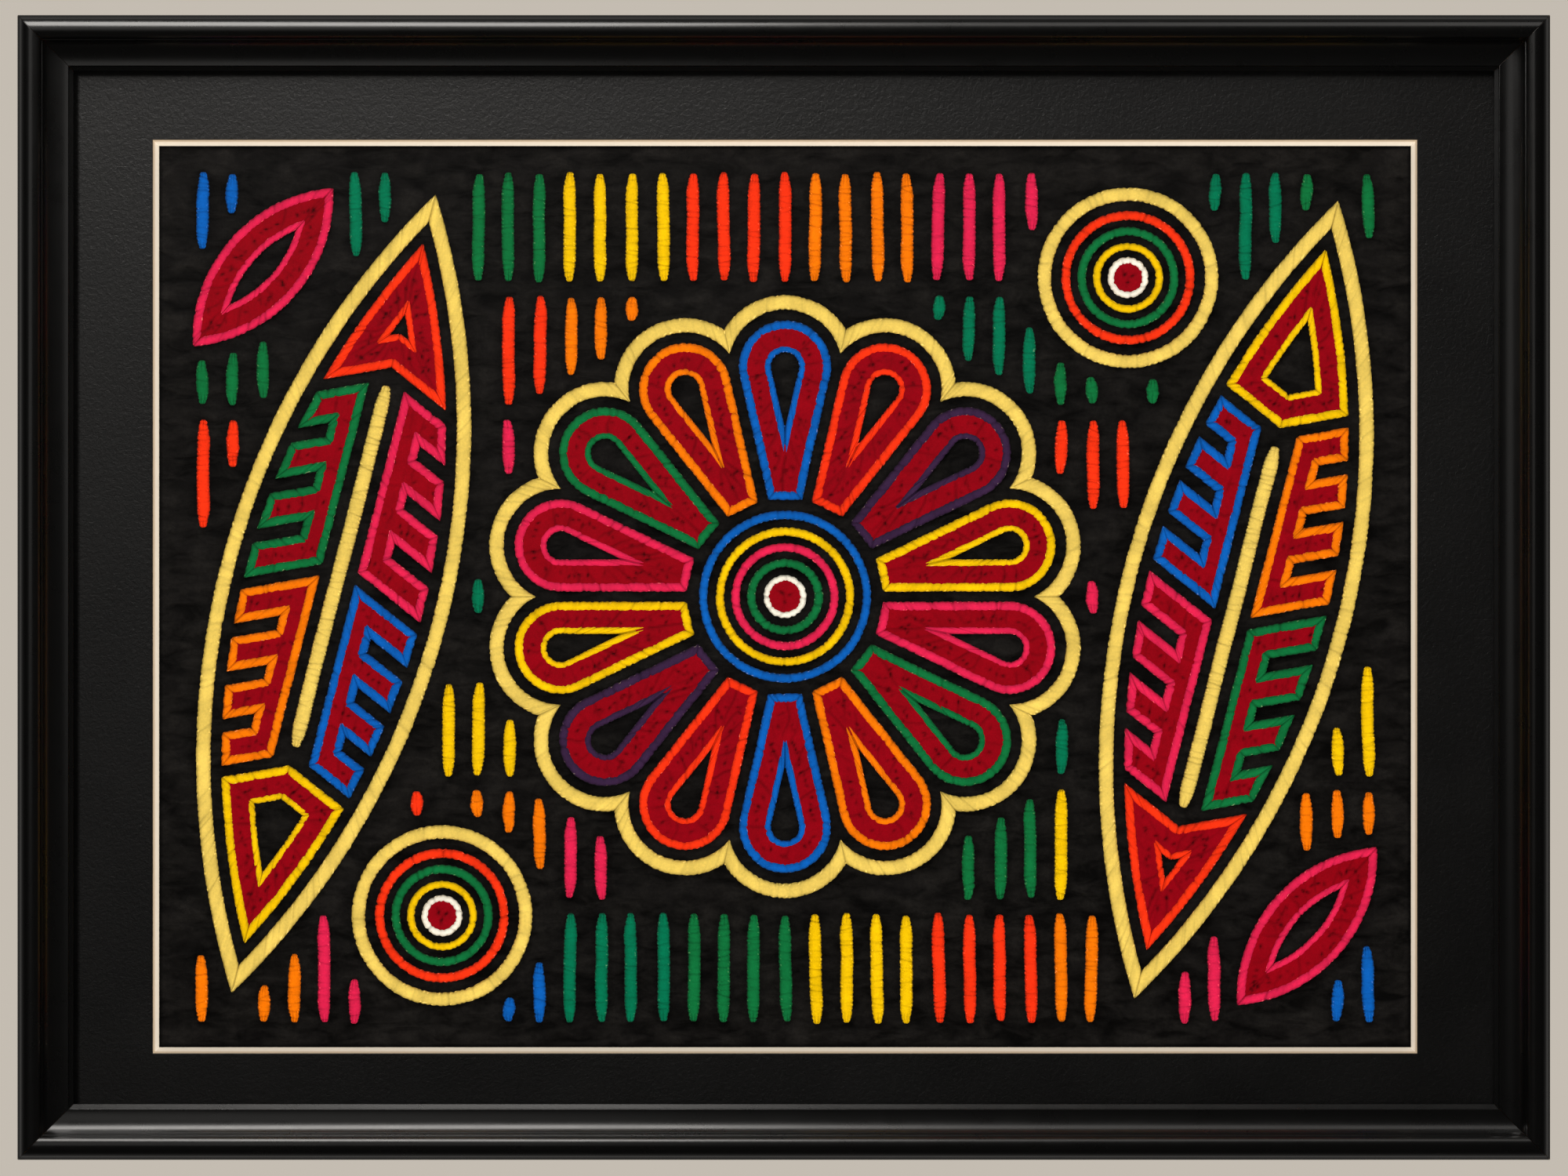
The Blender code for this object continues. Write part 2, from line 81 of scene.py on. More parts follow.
def new_material(name):
    """A material, its shader, and the place on the panel as a pair of node and output name."""
    material = bpy.data.materials.new(name)
    material.use_nodes = True
    shader = material.node_tree.nodes["Principled BSDF"]
    return material, shader, add_node(material, "TexCoord", "Object")


def set_inputs(owner, node, inputs):
    """Set a node's inputs. Each is a value, or a pair of node and output name to link."""
    for key, value in inputs.items():
        if isinstance(value, tuple) and isinstance(value[0], bpy.types.Node):
            owner.node_tree.links.new(value[0].outputs[value[1]], node.inputs[key])
        else:
            node.inputs[key].default_value = value


def add_node(owner, kind, output, inputs=None, **settings):
    """Add a shader node to a material or a world, and give it back as a pair to link."""
    node = owner.node_tree.nodes.new("ShaderNode" + kind)
    for key, value in settings.items():
        setattr(node, key, value)
    set_inputs(owner, node, inputs or {})
    return node, output


def blotches(owner, place, across_mm, detail, roughness=0.5, distortion=0.0):
    """Random soft blotches of about this size, in finer and finer detail."""
    return add_node(owner, "TexNoise", "Fac", {
        "Vector": place, "Scale": 1000 / across_mm, "Detail": detail, "Roughness": roughness,
        "Distortion": distortion})


def bumps(owner, height, strength, depth_mm, **more):
    return add_node(owner, "Bump", "Normal", {
        "Height": height, "Strength": strength, "Distance": depth_mm * MM, **more})


def combined(owner, operation, first, second):
    return add_node(owner, "Math", "Value", {0: first, 1: second}, operation=operation)


def toned(owner, value, stops):
    """The colour for a value, between stops that are pairs of position and sRGB hex value."""
    node, output = add_node(owner, "ValToRGB", "Color", {"Fac": value})
    elements = node.color_ramp.elements
    while len(elements) < len(stops):
        elements.new(0.5)
    for element, (position, code) in zip(elements, stops):
        element.position = position
        element.color = linear_colour(code)
    return node, output


def shown_mesh(name, points, faces, materials, face_slots=None, closed=True):
    """A smooth-shaded object whose points are u, v and height; closed ones are turned outwards."""
    points = np.asarray(points, float)
    world = np.stack([points[:, 0] + CENTRE_X, -points[:, 2], points[:, 1] + CENTRE_Z], 1)
    mesh = bpy.data.meshes.new(name)
    mesh.from_pydata(world.tolist(), [], [list(map(int, face)) for face in faces])
    for material in materials:
        mesh.materials.append(material)
    if face_slots is not None:
        mesh.polygons.foreach_set("material_index", list(face_slots))
    if closed:
        bm = bmesh.new()
        bm.from_mesh(mesh)
        bmesh.ops.recalc_face_normals(bm, faces=bm.faces)
        bm.to_mesh(mesh)
        bm.free()
    mesh.shade_smooth()
    thing = bpy.data.objects.new(name, mesh)
    bpy.context.collection.objects.link(thing)
    return thing


def black_lacquer():
    """Sprayed satin lacquer over filled wood: deep black, soft highlights, a faint orange peel."""
    material, shader, place = new_material("black satin lacquer")
    peel = blotches(material, place, across_mm=2.4, detail=3.0, roughness=0.6)
    haze = blotches(material, place, across_mm=12.0, detail=4.0, roughness=0.7)
    rub = add_node(material, "MapRange", "Result", {
        "Value": haze, "From Min": 0.3, "From Max": 0.7, "To Min": 0.26, "To Max": 0.31})
    set_inputs(material, shader, {
        "Base Color": linear_colour("040404"), "Roughness": rub, "IOR": 1.5,
        "Normal": bumps(material, peel, strength=0.03, depth_mm=0.02)})
    return material


def sawn_softwood(upright):
    """Bare pine, sawn along the rail: dull, pale brown, with long darker grain lines."""
    material, shader, place = new_material("sawn softwood, upright" if upright else "sawn softwood, level")
    along = (1.0, 1.0, 0.06) if upright else (0.06, 1.0, 1.0)
    stretch = add_node(material, "Mapping", "Vector", {"Vector": place, "Scale": along})
    grain = blotches(material, stretch, across_mm=2.2, detail=4.0, roughness=0.6)
    tone = toned(material, grain, ((0.3, "96683A"), (0.55, "B98F5E"), (0.75, "C9A577")))
    set_inputs(material, shader, {
        "Base Color": tone, "Roughness": 0.8,
        "Normal": bumps(material, grain, strength=0.4, depth_mm=0.15)})
    return material


def moulding_section():
    """Pairs of distance from the outer edge and height, and how many show from the front."""
    bead_steps, cove_steps = 28, 18
    bead_half = (BEAD_END - BEAD_START) / 2
    bead_foot = RAIL_DEPTH - BEAD_RISE
    section = [(0.0, 0.0), (0.0, SHOULDER_HEIGHT)]
    for i in range(bead_steps + 1):
        turn = math.pi * i / bead_steps
        section.append((BEAD_START + bead_half * (1 - math.cos(turn)),
                        bead_foot + BEAD_RISE * math.sin(turn)))
    for i in range(cove_steps + 1):
        turn = math.pi / 2 * i / cove_steps
        section.append((COVE_END - (COVE_END - COVE_START) * math.cos(turn),
                        bead_foot - (bead_foot - COVE_FOOT) * math.sin(turn)))
    section += [(LIP_START, LIP_TOP), (RAIL_FACE, LIP_FRONT), (RAIL_FACE, RABBET_HEIGHT)]
    lacquered = len(section) - 1
    section += [(RAIL_FACE - RABBET_WIDTH, RABBET_HEIGHT), (RAIL_FACE - RABBET_WIDTH, 0.0)]
    return section, lacquered


def rail(name, side, upright, lacquer, wood):
    """One mitred length of the moulding, on the side of that sign, as a swept section."""
    length, across = (FRAME_HEIGHT, FRAME_WIDTH) if upright else (FRAME_WIDTH, FRAME_HEIGHT)
    section, lacquered = moulding_section()
    count = len(section)
    points = []
    for end in (-1, 1):
        for inward, height in section:
            along = end * (length / 2 - inward - MITRE_GAP)
            sideways = side * (across / 2 - inward)
            points.append((sideways, along, height) if upright else (along, sideways, height))
    faces = [(i, (i + 1) % count, count + (i + 1) % count, count + i) for i in range(count)]
    slots = [0 if i < lacquered else 1 for i in range(count)]
    faces += [tuple(range(count)), tuple(range(count, 2 * count))]
    slots += [1, 1]
    piece = shown_mesh(name + "_moulding", points, faces, [lacquer, wood], slots)
    piece.data.set_sharp_from_angle(angle=math.radians(24))
    edge = piece.modifiers.new("eased edges", "BEVEL")
    edge.width = 0.08 * MM
    edge.segments = 2
    edge.limit_method = "ANGLE"
    edge.angle_limit = math.radians(40)
    edge.material = 0
    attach(piece, "root")
    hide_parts(name)


lacquer, level_wood, upright_wood = black_lacquer(), sawn_softwood(False), sawn_softwood(True)
rail("rail_top", 1, False, lacquer, level_wood)
rail("rail_bottom", -1, False, lacquer, level_wood)
rail("rail_left", -1, True, lacquer, upright_wood)
rail("rail_right", 1, True, lacquer, upright_wood)

# The window mat is one sheet of 2.4 mm board faced with matt black paper. Its window is cut
# with a slanted blade, so the cream core shows as a bright line round the cloth.
MAT_LEFT = 26.2 * MM
MAT_RIGHT = 25.4 * MM
MAT_TOP = 22.8 * MM
MAT_BOTTOM = 16.7 * MM
MAT_BEVEL = 2.0 * MM
mat_low, mat_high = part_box("mat_board")
MAT_BACK = -mat_high.y
MAT_FRONT = -mat_low.y
MAT_HALF_WIDTH = (mat_high.x - mat_low.x) / 2
MAT_HALF_HEIGHT = (mat_high.z - mat_low.z) / 2
WINDOW_CENTRE = np.array([(MAT_LEFT - MAT_RIGHT) / 2, (MAT_BOTTOM - MAT_TOP) / 2])
WINDOW_WIDTH = FRAME_WIDTH - 2 * RAIL_FACE - MAT_LEFT - MAT_RIGHT - 2 * MAT_BEVEL
WINDOW_HEIGHT = FRAME_HEIGHT - 2 * RAIL_FACE - MAT_TOP - MAT_BOTTOM - 2 * MAT_BEVEL


def black_mat_paper():
    """Uncoated dyed paper: black, finely pitted, its faint gloss lost in the shade of the lip."""
    material, shader, place = new_material("black mat paper")
    fibre = blotches(material, place, across_mm=1.4, detail=4.0, roughness=0.7, distortion=0.5)
    cloud = blotches(material, place, across_mm=30.0, detail=2.0)
    blend = combined(material, "MULTIPLY", fibre, cloud)
    tone = toned(material, blend, ((0.12, "030303"), (0.4, "090909")))
    shade = add_node(material, "Attribute", "Fac", attribute_name="shade")
    coating = combined(material, "MULTIPLY", shade, 0.5)
    set_inputs(material, shader, {
        "Base Color": tone, "Roughness": 0.46, "IOR": 1.45, "Specular IOR Level": coating,
        "Normal": bumps(material, fibre, strength=1.0, depth_mm=0.2)})
    return material


def cream_mat_core():
    """The cut core of the board: cream paper pulp in plies, brown at the face paper's edge, with a painted
    shade of the face's crest on the bevel's outer part.
    """
    material, shader, place = new_material("cream mat core")
    split = add_node(material, "SeparateXYZ", "Y", {"Vector": place})
    depth = add_node(material, "MapRange", "Result", {
        "Value": split, "From Min": -MAT_BACK, "From Max": -MAT_FRONT})
    # Painted shade: the darker band towards the face stands for the shade that the face's crest casts on
    # the bevel; the last stop is the brown edge at the face paper.
    tone = toned(material, depth, ((0.0, "DAD0BF"), (0.12, "F2EADB"), (0.5, "F2E8D9"), (0.64, "E8DBC8"),
                                   (0.7, "CAB69C"), (0.82, "D2C1A8"), (0.97, "84705A")))
    pulp = blotches(material, place, across_mm=0.4, detail=3.0)
    set_inputs(material, shader, {
        "Base Color": tone, "Roughness": 0.9, "Normal": bumps(material, pulp, strength=0.4, depth_mm=0.05)})
    return material


def window_mat():
    """The board with its window: rows of four corners from the back, round the front, to the bevel."""
    half_u, half_v = WINDOW_WIDTH / 2, WINDOW_HEIGHT / 2
    crest = 0.12 * MM
    sight_u, sight_v = FRAME_WIDTH / 2 - RAIL_FACE, FRAME_HEIGHT / 2 - RAIL_FACE
    # The lip keeps the light off the mat beside it, as far as the first and up to the second
    dark, light = 0.6 * MM, 1.1 * MM
    rows = (((MAT_HALF_WIDTH, MAT_HALF_HEIGHT), (0.0, 0.0), MAT_BACK, 1.0),
            ((MAT_HALF_WIDTH, MAT_HALF_HEIGHT), (0.0, 0.0), MAT_FRONT, 0.0),
            ((sight_u - dark, sight_v - dark), (dark, -dark), MAT_FRONT, 0.06),
            ((sight_u - light, sight_v - light), (light, -light), MAT_FRONT, 1.0),
            ((half_u + MAT_BEVEL + crest, half_v + MAT_BEVEL + crest), WINDOW_CENTRE, MAT_FRONT, 1.0),
            ((half_u + MAT_BEVEL, half_v + MAT_BEVEL), WINDOW_CENTRE, MAT_FRONT - crest, 1.0),
            ((half_u, half_v), WINDOW_CENTRE, MAT_BACK, 1.0))
    points = []
    for (u, v), centre, height, _ in rows:
        points += [(centre[0] + a * u, centre[1] + b * v, height)
                   for a, b in ((-1, -1), (1, -1), (1, 1), (-1, 1))]
    faces, slots = [], []
    for row in range(len(rows)):
        after = (row + 1) % len(rows)
        for i in range(4):
            j = (i + 1) % 4
            faces.append((4 * row + i, 4 * row + j, 4 * after + j, 4 * after + i))
            slots.append(1 if row == len(rows) - 2 else 0)
    piece = shown_mesh("mat_board_cut", points, faces, [black_mat_paper(), cream_mat_core()], slots)
    layer = piece.data.attributes.new("shade", "FLOAT", "POINT")
    layer.data.foreach_set("value", [shade for _, _, _, shade in rows for _ in range(4)])
    piece.data.set_sharp_from_angle(angle=math.radians(20))
    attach(piece, "root")
    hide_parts("mat_board")


window_mat()

# The backing board is plain grey pulp board, 3 mm thick, cut square to fill the rabbet.
# It is hidden by the cloth and the mat, and shows only from behind.


def grey_pulp_board():
    """Recycled grey board: dull, speckled with darker and paler fibres."""
    material, shader, place = new_material("grey pulp board")
    fleck = blotches(material, place, across_mm=1.4, detail=5.0, roughness=0.75)
    tone = toned(material, fleck, ((0.3, "7C7468"), (0.5, "8F877A"), (0.7, "A39B8D")))
    set_inputs(material, shader, {
        "Base Color": tone, "Roughness": 0.92,
        "Normal": bumps(material, fleck, strength=0.3, depth_mm=0.08)})
    return material


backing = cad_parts["backing_board"]
backing.data.materials.clear()
backing.data.materials.append(grey_pulp_board())

# The flower is cut from layers of plain cotton. Each colour is a narrow strip whose edges are
# turned under and sewn down, so it is puffed, pinched at each stitch and folded at corners.
# Inside a petal lies a flat crimson field, and the outline round all of them is pale yellow.
CLOTH_FRONT = 7.0 * MM
HIDDEN_EDGE = CLOTH_FRONT - 0.3 * MM
BAND_TOP = CLOTH_FRONT + 1.15 * MM
SLOT_EDGE_TOP = BAND_TOP - 0.12 * MM
FIELD_TOP = CLOTH_FRONT + 0.62 * MM
PALE_BAND = 5.2 * MM
OUTER_BAND = 3.4 * MM
INNER_BAND = 2.6 * MM
PALE_FOLDS = {"tuck_gap": 3.4 * MM, "tuck_depth": 0.6, "squareness": 3.4}
FIELD_WIDTH = 5.0 * MM
# A field's edge lies hidden, this share of the way under its border and this far under the slot's
HIDDEN_SHARE = 0.6
SLOT_LAP = 1.2 * MM
SEWING_STEP = 1.0 * MM
COLOUR_GAP = 3.2 * MM
PETALS = 14
PETAL_COLOURS = ("blue", "orange", "green", "pink", "yellow", "plum", "vermilion")
PETAL_GAP = 3.0 * MM
PETAL_FOOT = 32.0 * MM
PETAL_REACH = 92.0 * MM
NARROWEST_FOOT = 1.2 * MM
PETAL_HALF_ANGLE = math.pi / PETALS
PETAL_TURNS = [math.pi / 2 + 2 * PETAL_HALF_ANGLE * k for k in range(PETALS)]
PETAL_CENTRE = (PETAL_REACH + PETAL_GAP / 2) / (1 + math.sin(PETAL_HALF_ANGLE))
COTTON_COLOURS = {
    "pale_yellow": "E3C65F",
    "blue": "095BB6",
    "orange": "F07603",
    "green": "0D6C39",
    "pink": "D8214E",
    "yellow": "ECBF03",
    "plum": "352140",
    "vermilion": "F03311",
    "white": "F0ECE0",
    "crimson": "8C0212",
    "teal": "026F4E",
}
STATION = 0.54 * MM
FIELD_GRID = 0.55 * MM
ACROSS = np.array([0.0, 0.03, 0.1, 0.2, 0.34, 0.5, 0.66, 0.8, 0.9, 0.97, 1.0])
chance = np.random.default_rng(11)
cottons = {}
sewn_points = []


def plain_weave(material, place, waver, slub):
    """The bump of threads that cross one over one, thicker where the yarn has slubs."""
    # The real thread is about 0.25 mm; it is drawn at 0.5 mm so that it shows at all
    thread_mm = 0.5
    period_to_scale = 2 * math.pi / 20 * 1000
    warp, weft = [add_node(material, "TexWave", "Fac", {
        "Vector": place, "Distortion": waver, "Scale": period_to_scale / thread_mm},
        bands_direction=way) for way in ("X", "Z")]
    relief = combined(material, "ADD", combined(material, "MAXIMUM", warp, weft), slub)
    return bumps(material, relief, strength=0.6, depth_mm=0.06)


def dyed_cotton(colour):
    """Plain-woven dyed cotton: dull, its dye uneven, painted shade in its folds and sides, pale thread and
    painted highlight at stitches.
    """
    if colour in cottons:
        return cottons[colour]
    material, shader, place = new_material(colour.replace("_", " ") + " cotton")
    slub = blotches(material, place, across_mm=0.9, detail=3.0, roughness=0.65)
    dye = blotches(material, place, across_mm=7.0, detail=2.0)
    gain = add_node(material, "MapRange", "Result", {
        "Value": combined(material, "ADD", slub, dye), "From Min": 0.6, "From Max": 1.4, "To Min": 0.82,
        "To Max": 1.15})
    # The shade attribute is painted light: below 1 it is painted shade, above 1 a painted highlight, and
    # from 1.25 up it also mixes in pale thread.
    painted_light = add_node(material, "Attribute", "Fac", attribute_name="shade")
    shade = combined(material, "MULTIPLY", gain, painted_light)
    tone = add_node(material, "VectorMath", "Vector", {
        0: linear_colour(COTTON_COLOURS[colour])[:3], "Scale": shade}, operation="SCALE")
    thread = add_node(material, "MapRange", "Result", {
        "Value": painted_light, "From Min": 1.25, "From Max": 2.2, "To Max": 0.55})
    tone = add_node(material, "MixRGB", "Color", {
        "Fac": thread, "Color1": tone, "Color2": linear_colour("E6D5B0")})
    set_inputs(material, shader, {
        "Base Color": tone, "Roughness": 0.85, "IOR": 1.45, "Specular IOR Level": 0.06,
        "Sheen Weight": 0.02, "Sheen Roughness": 0.5, "Normal": plain_weave(material, place, 0.6, slub)})
    cottons[colour] = material
    return material


def sewn(piece, colour, *nodes):
    """Fix a finished cloth piece to the panel, in the place of its solids."""
    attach(piece, "root")
    if nodes:
        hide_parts(*nodes)


def set_shade(piece, shade):
    """Keep at each point a factor on the cloth's colour: painted shade in folds, sides and holes, painted
    highlight and pale thread at stitches.
    """
    layer = piece.data.attributes.new("shade", "FLOAT", "POINT")
    layer.data.foreach_set("value", np.clip(shade, 0.1, 2.2).astype(np.float32).reshape(-1))


def turning(angle):
    """The matrix that turns rows of points counter-clockwise by an angle."""
    c, s = math.cos(angle), math.sin(angle)
    return np.array([[c, s], [-s, c]])


def turned(points, angle=0.0, at=(0.0, 0.0)):
    """Points of the pattern turned about the window's middle, after a shift."""
    return (np.asarray(points, float) + np.asarray(at)) @ turning(angle) + WINDOW_CENTRE


def stations(outer, inner, spacing):
    """Matching points along a strip's two edges, and whether the strip turns a corner there."""
    outer, inner = np.asarray(outer, float), np.asarray(inner, float)
    middle = (outer + inner) / 2
    outer_rows, inner_rows, corners = [], [], []
    for i in range(len(outer)):
        j = (i + 1) % len(outer)
        reach = max(np.linalg.norm(outer[j] - outer[i]), np.linalg.norm(inner[j] - inner[i]))
        steps = max(1, round(reach / spacing))
        part = np.arange(steps)[:, None] / steps
        outer_rows.append(outer[i] + part * (outer[j] - outer[i]))
        inner_rows.append(inner[i] + part * (inner[j] - inner[i]))
        before, after = middle[i] - middle[i - 1], middle[j] - middle[i]
        turn = abs(before[0] * after[1] - before[1] * after[0])
        sharp = turn > 0.35 * np.linalg.norm(before) * np.linalg.norm(after) or before @ after < 0
        corners += [sharp] + [False] * (steps - 1)
    return np.concatenate(outer_rows), np.concatenate(inner_rows), np.array(corners)


def wandering(places, length, spacing, amount):
    """A smooth random wander along a closed line, sampled at these places."""
    count = max(4, int(length / spacing))
    knots = chance.uniform(-amount, amount, count)
    return np.interp(places / length * count, np.arange(count + 1), np.append(knots, knots[0]))


def sewn_edge(places, length, pitch):
    """How far an edge is pulled in at each place: most at the stitches, least between them."""
    count = max(3, int(length / pitch))
    stitches = (np.arange(count) + chance.uniform(-0.3, 0.3, count)) * length / count
    gap = (places[:, None] - stitches + length / 2) % length - length / 2
    pinch = (chance.uniform(0.3, 1.0, count) * np.exp(-(gap / (0.24 * pitch)) ** 2)).max(axis=1)
    return (0.04 + 0.36 * pinch) * MM + wandering(places, length, 3 * pitch, 0.1 * MM)


def tucks_across(places, length, count, depth, spread, across, fixed=()):
    """How deep a strip is tucked at each place and each point across, from random and fixed folds."""
    folds = (np.arange(count) + chance.uniform(-0.45, 0.45, count)) * length / count
    depths = depth * chance.uniform(0.1, 1.0, count) ** 1.4
    slants = chance.normal(0.0, 0.6 * MM, count)
    leans = chance.uniform(-1.0, 1.0, count)
    folds = np.concatenate([folds, fixed])
    depths = np.concatenate([depths, np.full(len(fixed), 0.95)])
    slants = np.concatenate([slants, np.zeros(len(fixed))])
    leans = np.concatenate([leans, np.zeros(len(fixed))])
    gap = places[:, None, None] - folds - slants * (across - 0.5)[None, :, None]
    gap = (gap + length / 2) % length - length / 2
    far = np.where(leans > 0, across[:, None], 1 - across[:, None])
    return (depths * (1 - np.abs(leans) * far) * np.exp(-(gap / spread) ** 2)).max(axis=2)


def quads_between(rows, next_rows):
    """Faces from each row of point numbers to its next; a row's last point joins its first."""
    return np.stack([rows, next_rows, np.roll(next_rows, -1, 1), np.roll(rows, -1, 1)], -1).reshape(-1, 4)


def pale_threads_and_highlights(shade, rows, share, palest):
    """Show pale thread at this share of the rows, in the four columns beside the two edges, brightened
    there by a painted highlight.
    """
    for column in (1, 2, -3, -2):
        stitch = np.flatnonzero(chance.random(rows) < share)
        shade[stitch, column] = chance.uniform(1.2, palest, len(stitch))


def strip(name, outer, inner, colour, nodes=(), tuck_gap=3.6 * MM, tuck_depth=1.0, top=BAND_TOP,
          squareness=2.6):
    """A closed strip of cloth between two edges, puffed, tucked at stitches, folded at corners."""
    stitch_pitch, tuck_spread, tuck_pull, narrowest = 1.9 * MM, 0.4 * MM, 0.2 * MM, 0.5 * MM
    puff_pitch, bare_thread_gap = 3 * MM, 7 * MM
    edge_a, edge_b, corners = stations(outer, inner, STATION)
    middle = (edge_a + edge_b) / 2
    steps = np.linalg.norm(np.roll(middle, -1, 0) - middle, axis=1)
    length = steps.sum()
    run = np.cumsum(steps) - steps
    width = np.maximum(np.linalg.norm(edge_b - edge_a, axis=1), narrowest)
    count = max(3, int(length / tuck_gap))
    crease = tucks_across(run, length, count, tuck_depth, tuck_spread, ACROSS, run[corners])
    pull_a = sewn_edge(run, length, stitch_pitch) + tuck_pull * crease[:, 0]
    pull_b = sewn_edge(run, length, stitch_pitch) + tuck_pull * crease[:, -1]
    start, end = pull_a / width, 1 - pull_b / width
    share = start[:, None] + (end - start)[:, None] * ACROSS
    spots = edge_a[:, None, :] + (edge_b - edge_a)[:, None, :] * share[..., None]
    puff = (1 - np.abs(2 * ACROSS - 1) ** squareness) ** 0.5
    level = 1 + wandering(run, length, puff_pitch, 0.1)
    height = HIDDEN_EDGE + (top - HIDDEN_EDGE) * puff * (1 - 0.3 * crease) * level[:, None]
    rows, columns = height.shape
    points = np.c_[spots.reshape(-1, 2), height.ravel()]
    grid = np.arange(rows * columns).reshape(rows, columns)
    piece = shown_mesh(name, points, quads_between(grid, np.roll(grid, -1, 0)), [dyed_cotton(colour)])
    # Painted shade and highlight: darker in the tucks and towards both turned-under edges, lighter where
    # the strip rides higher.
    shade = (1.08 - 0.55 * crease - 0.75 * (1 - puff) ** 1.1) * (0.3 + 0.7 * level ** 1.5)[:, None]
    pale_threads_and_highlights(shade, rows, STATION / bare_thread_gap, 2.1)
    set_shade(piece, shade)
    sewn(piece, colour, *nodes)
    sewn_points.extend(edge_a[::2].tolist() + edge_b[::2].tolist())


def inside(points, loops):
    """Whether each point lies inside the loops taken together, even and odd."""
    hits = np.zeros(len(points), bool)
    for loop in loops:
        a = np.asarray(loop, float)
        b = np.roll(a, -1, 0)
        for (ax, ay), (bx, by) in zip(a, b):
            if ay == by:
                continue
            crossing = (points[:, 1] < ay) != (points[:, 1] < by)
            hits ^= crossing & (points[:, 0] < (bx - ax) * (points[:, 1] - ay) / (by - ay) + ax)
    return hits


def field(name, loops, tucks, holes):
    """A flat piece of crimson cloth under the strips, with tucks across it and small stitch holes."""
    tuck_width, tuck_depth, tuck_wander, shortest = 0.42 * MM, 0.32 * MM, 0.3 * MM, 0.1 * MM
    hole_length, hole_width, hole_depth = 0.75 * MM, 0.42 * MM, 0.3 * MM
    billow_size, billow_height, rim_shade = 4.5 * MM, 0.24 * MM, 0.4
    low = np.min([np.min(loop, 0) for loop in loops], 0)
    high = np.max([np.max(loop, 0) for loop in loops], 0)
    columns, rows = np.ceil((high - low) / FIELD_GRID).astype(int) + 1
    u, v = np.meshgrid(low[0] + np.arange(columns + 1) * FIELD_GRID,
                       low[1] + np.arange(rows + 1) * FIELD_GRID)
    spots = np.stack([u.ravel(), v.ravel()], 1)
    corner = (np.arange(rows)[:, None] * (columns + 1) + np.arange(columns)).ravel()
    kept = corner[inside(spots[corner] + FIELD_GRID / 2, loops)]
    quads = np.stack([kept, kept + 1, kept + columns + 2, kept + columns + 1], 1)
    used, quads = np.unique(quads, return_inverse=True)
    quads = quads.reshape(-1, 4)
    spots = spots[used]
    depth = np.zeros(len(spots))
    for start, end in tucks:
        reach = np.asarray(end) - start
        length = max(np.linalg.norm(reach), shortest)
        along = ((spots - start) @ reach) / length ** 2
        off = (spots - start) @ np.array([-reach[1], reach[0]]) / length
        off = off - chance.normal(0, tuck_wander) * np.sin(along * 5 + chance.uniform(0, 6))
        lean = chance.uniform(-0.9, 0.9)
        from_middle = 2 * along - 1
        fade = np.clip(1.4 - np.abs(from_middle), 0, 0.3) / 0.3 * np.clip(1 - lean * from_middle, 0, 1)
        depth = np.maximum(depth, chance.uniform(0.2, 1.0) * fade * np.exp(-(off / tuck_width) ** 2))
    pits = np.zeros(len(spots))
    for hole in holes:
        near = (spots - hole) @ turning(-chance.uniform(0, math.pi))
        far = (near[:, 0] / hole_length) ** 2 + (near[:, 1] / hole_width) ** 2
        pits = np.maximum(pits, chance.uniform(0.35, 1.0) * np.exp(-far))
    billow = np.array([noise.noise(Vector((u, v, 0.0)) / billow_size) for u, v in spots])
    height = FIELD_TOP + billow_height * billow - tuck_depth * depth - hole_depth * pits
    points = np.c_[spots, height]
    sides = np.concatenate([quads[:, [i, (i + 1) % 4]] for i in range(4)])
    twins = {tuple(side) for side in sides.tolist()}
    rim = [(a, b) for a, b in sides.tolist() if (b, a) not in twins]
    rim_points = sorted({a for a, b in rim} | {b for a, b in rim})
    foot = {point: len(points) + i for i, point in enumerate(rim_points)}
    points = np.concatenate([points, np.c_[spots[rim_points], np.full(len(rim_points), HIDDEN_EDGE)]])
    faces = quads.tolist() + [(b, a, foot[a], foot[b]) for a, b in rim]
    piece = shown_mesh(name, points, faces, [dyed_cotton("crimson")], closed=False)
    # Painted shade: darker in the tucks and the stitch holes, and on the hidden rim round the field.
    shade = 1.0 - 0.45 * depth - 0.95 * pits
    set_shade(piece, np.concatenate([shade, np.full(len(rim_points), rim_shade)]))
    sewn(piece, "crimson")


def circle(radius, count):
    """The outline of a round strip, as a function of the distance drawn in."""
    def outline(distance):
        turns = 2 * math.pi * np.arange(count) / count
        return (radius - distance) * np.stack([np.cos(turns), np.sin(turns)], 1)
    return outline


def petal_outline(distance):
    """A wedge along +u whose far end is round, drawn in by a distance."""
    arc_points = 33
    radius = PETAL_REACH - PETAL_CENTRE - distance
    wedge_tip = (PETAL_GAP / 2 + distance) / math.sin(PETAL_HALF_ANGLE)
    foot = max(PETAL_FOOT + distance, wedge_tip + NARROWEST_FOOT)
    half_foot = (foot - wedge_tip) * math.tan(PETAL_HALF_ANGLE)
    end = math.pi / 2 + PETAL_HALF_ANGLE
    turns = np.linspace(-end, end, arc_points)
    arc = np.stack([PETAL_CENTRE + radius * np.cos(turns), radius * np.sin(turns)], 1)
    return np.concatenate([[(foot, -half_foot)], arc, [(foot, half_foot)]])


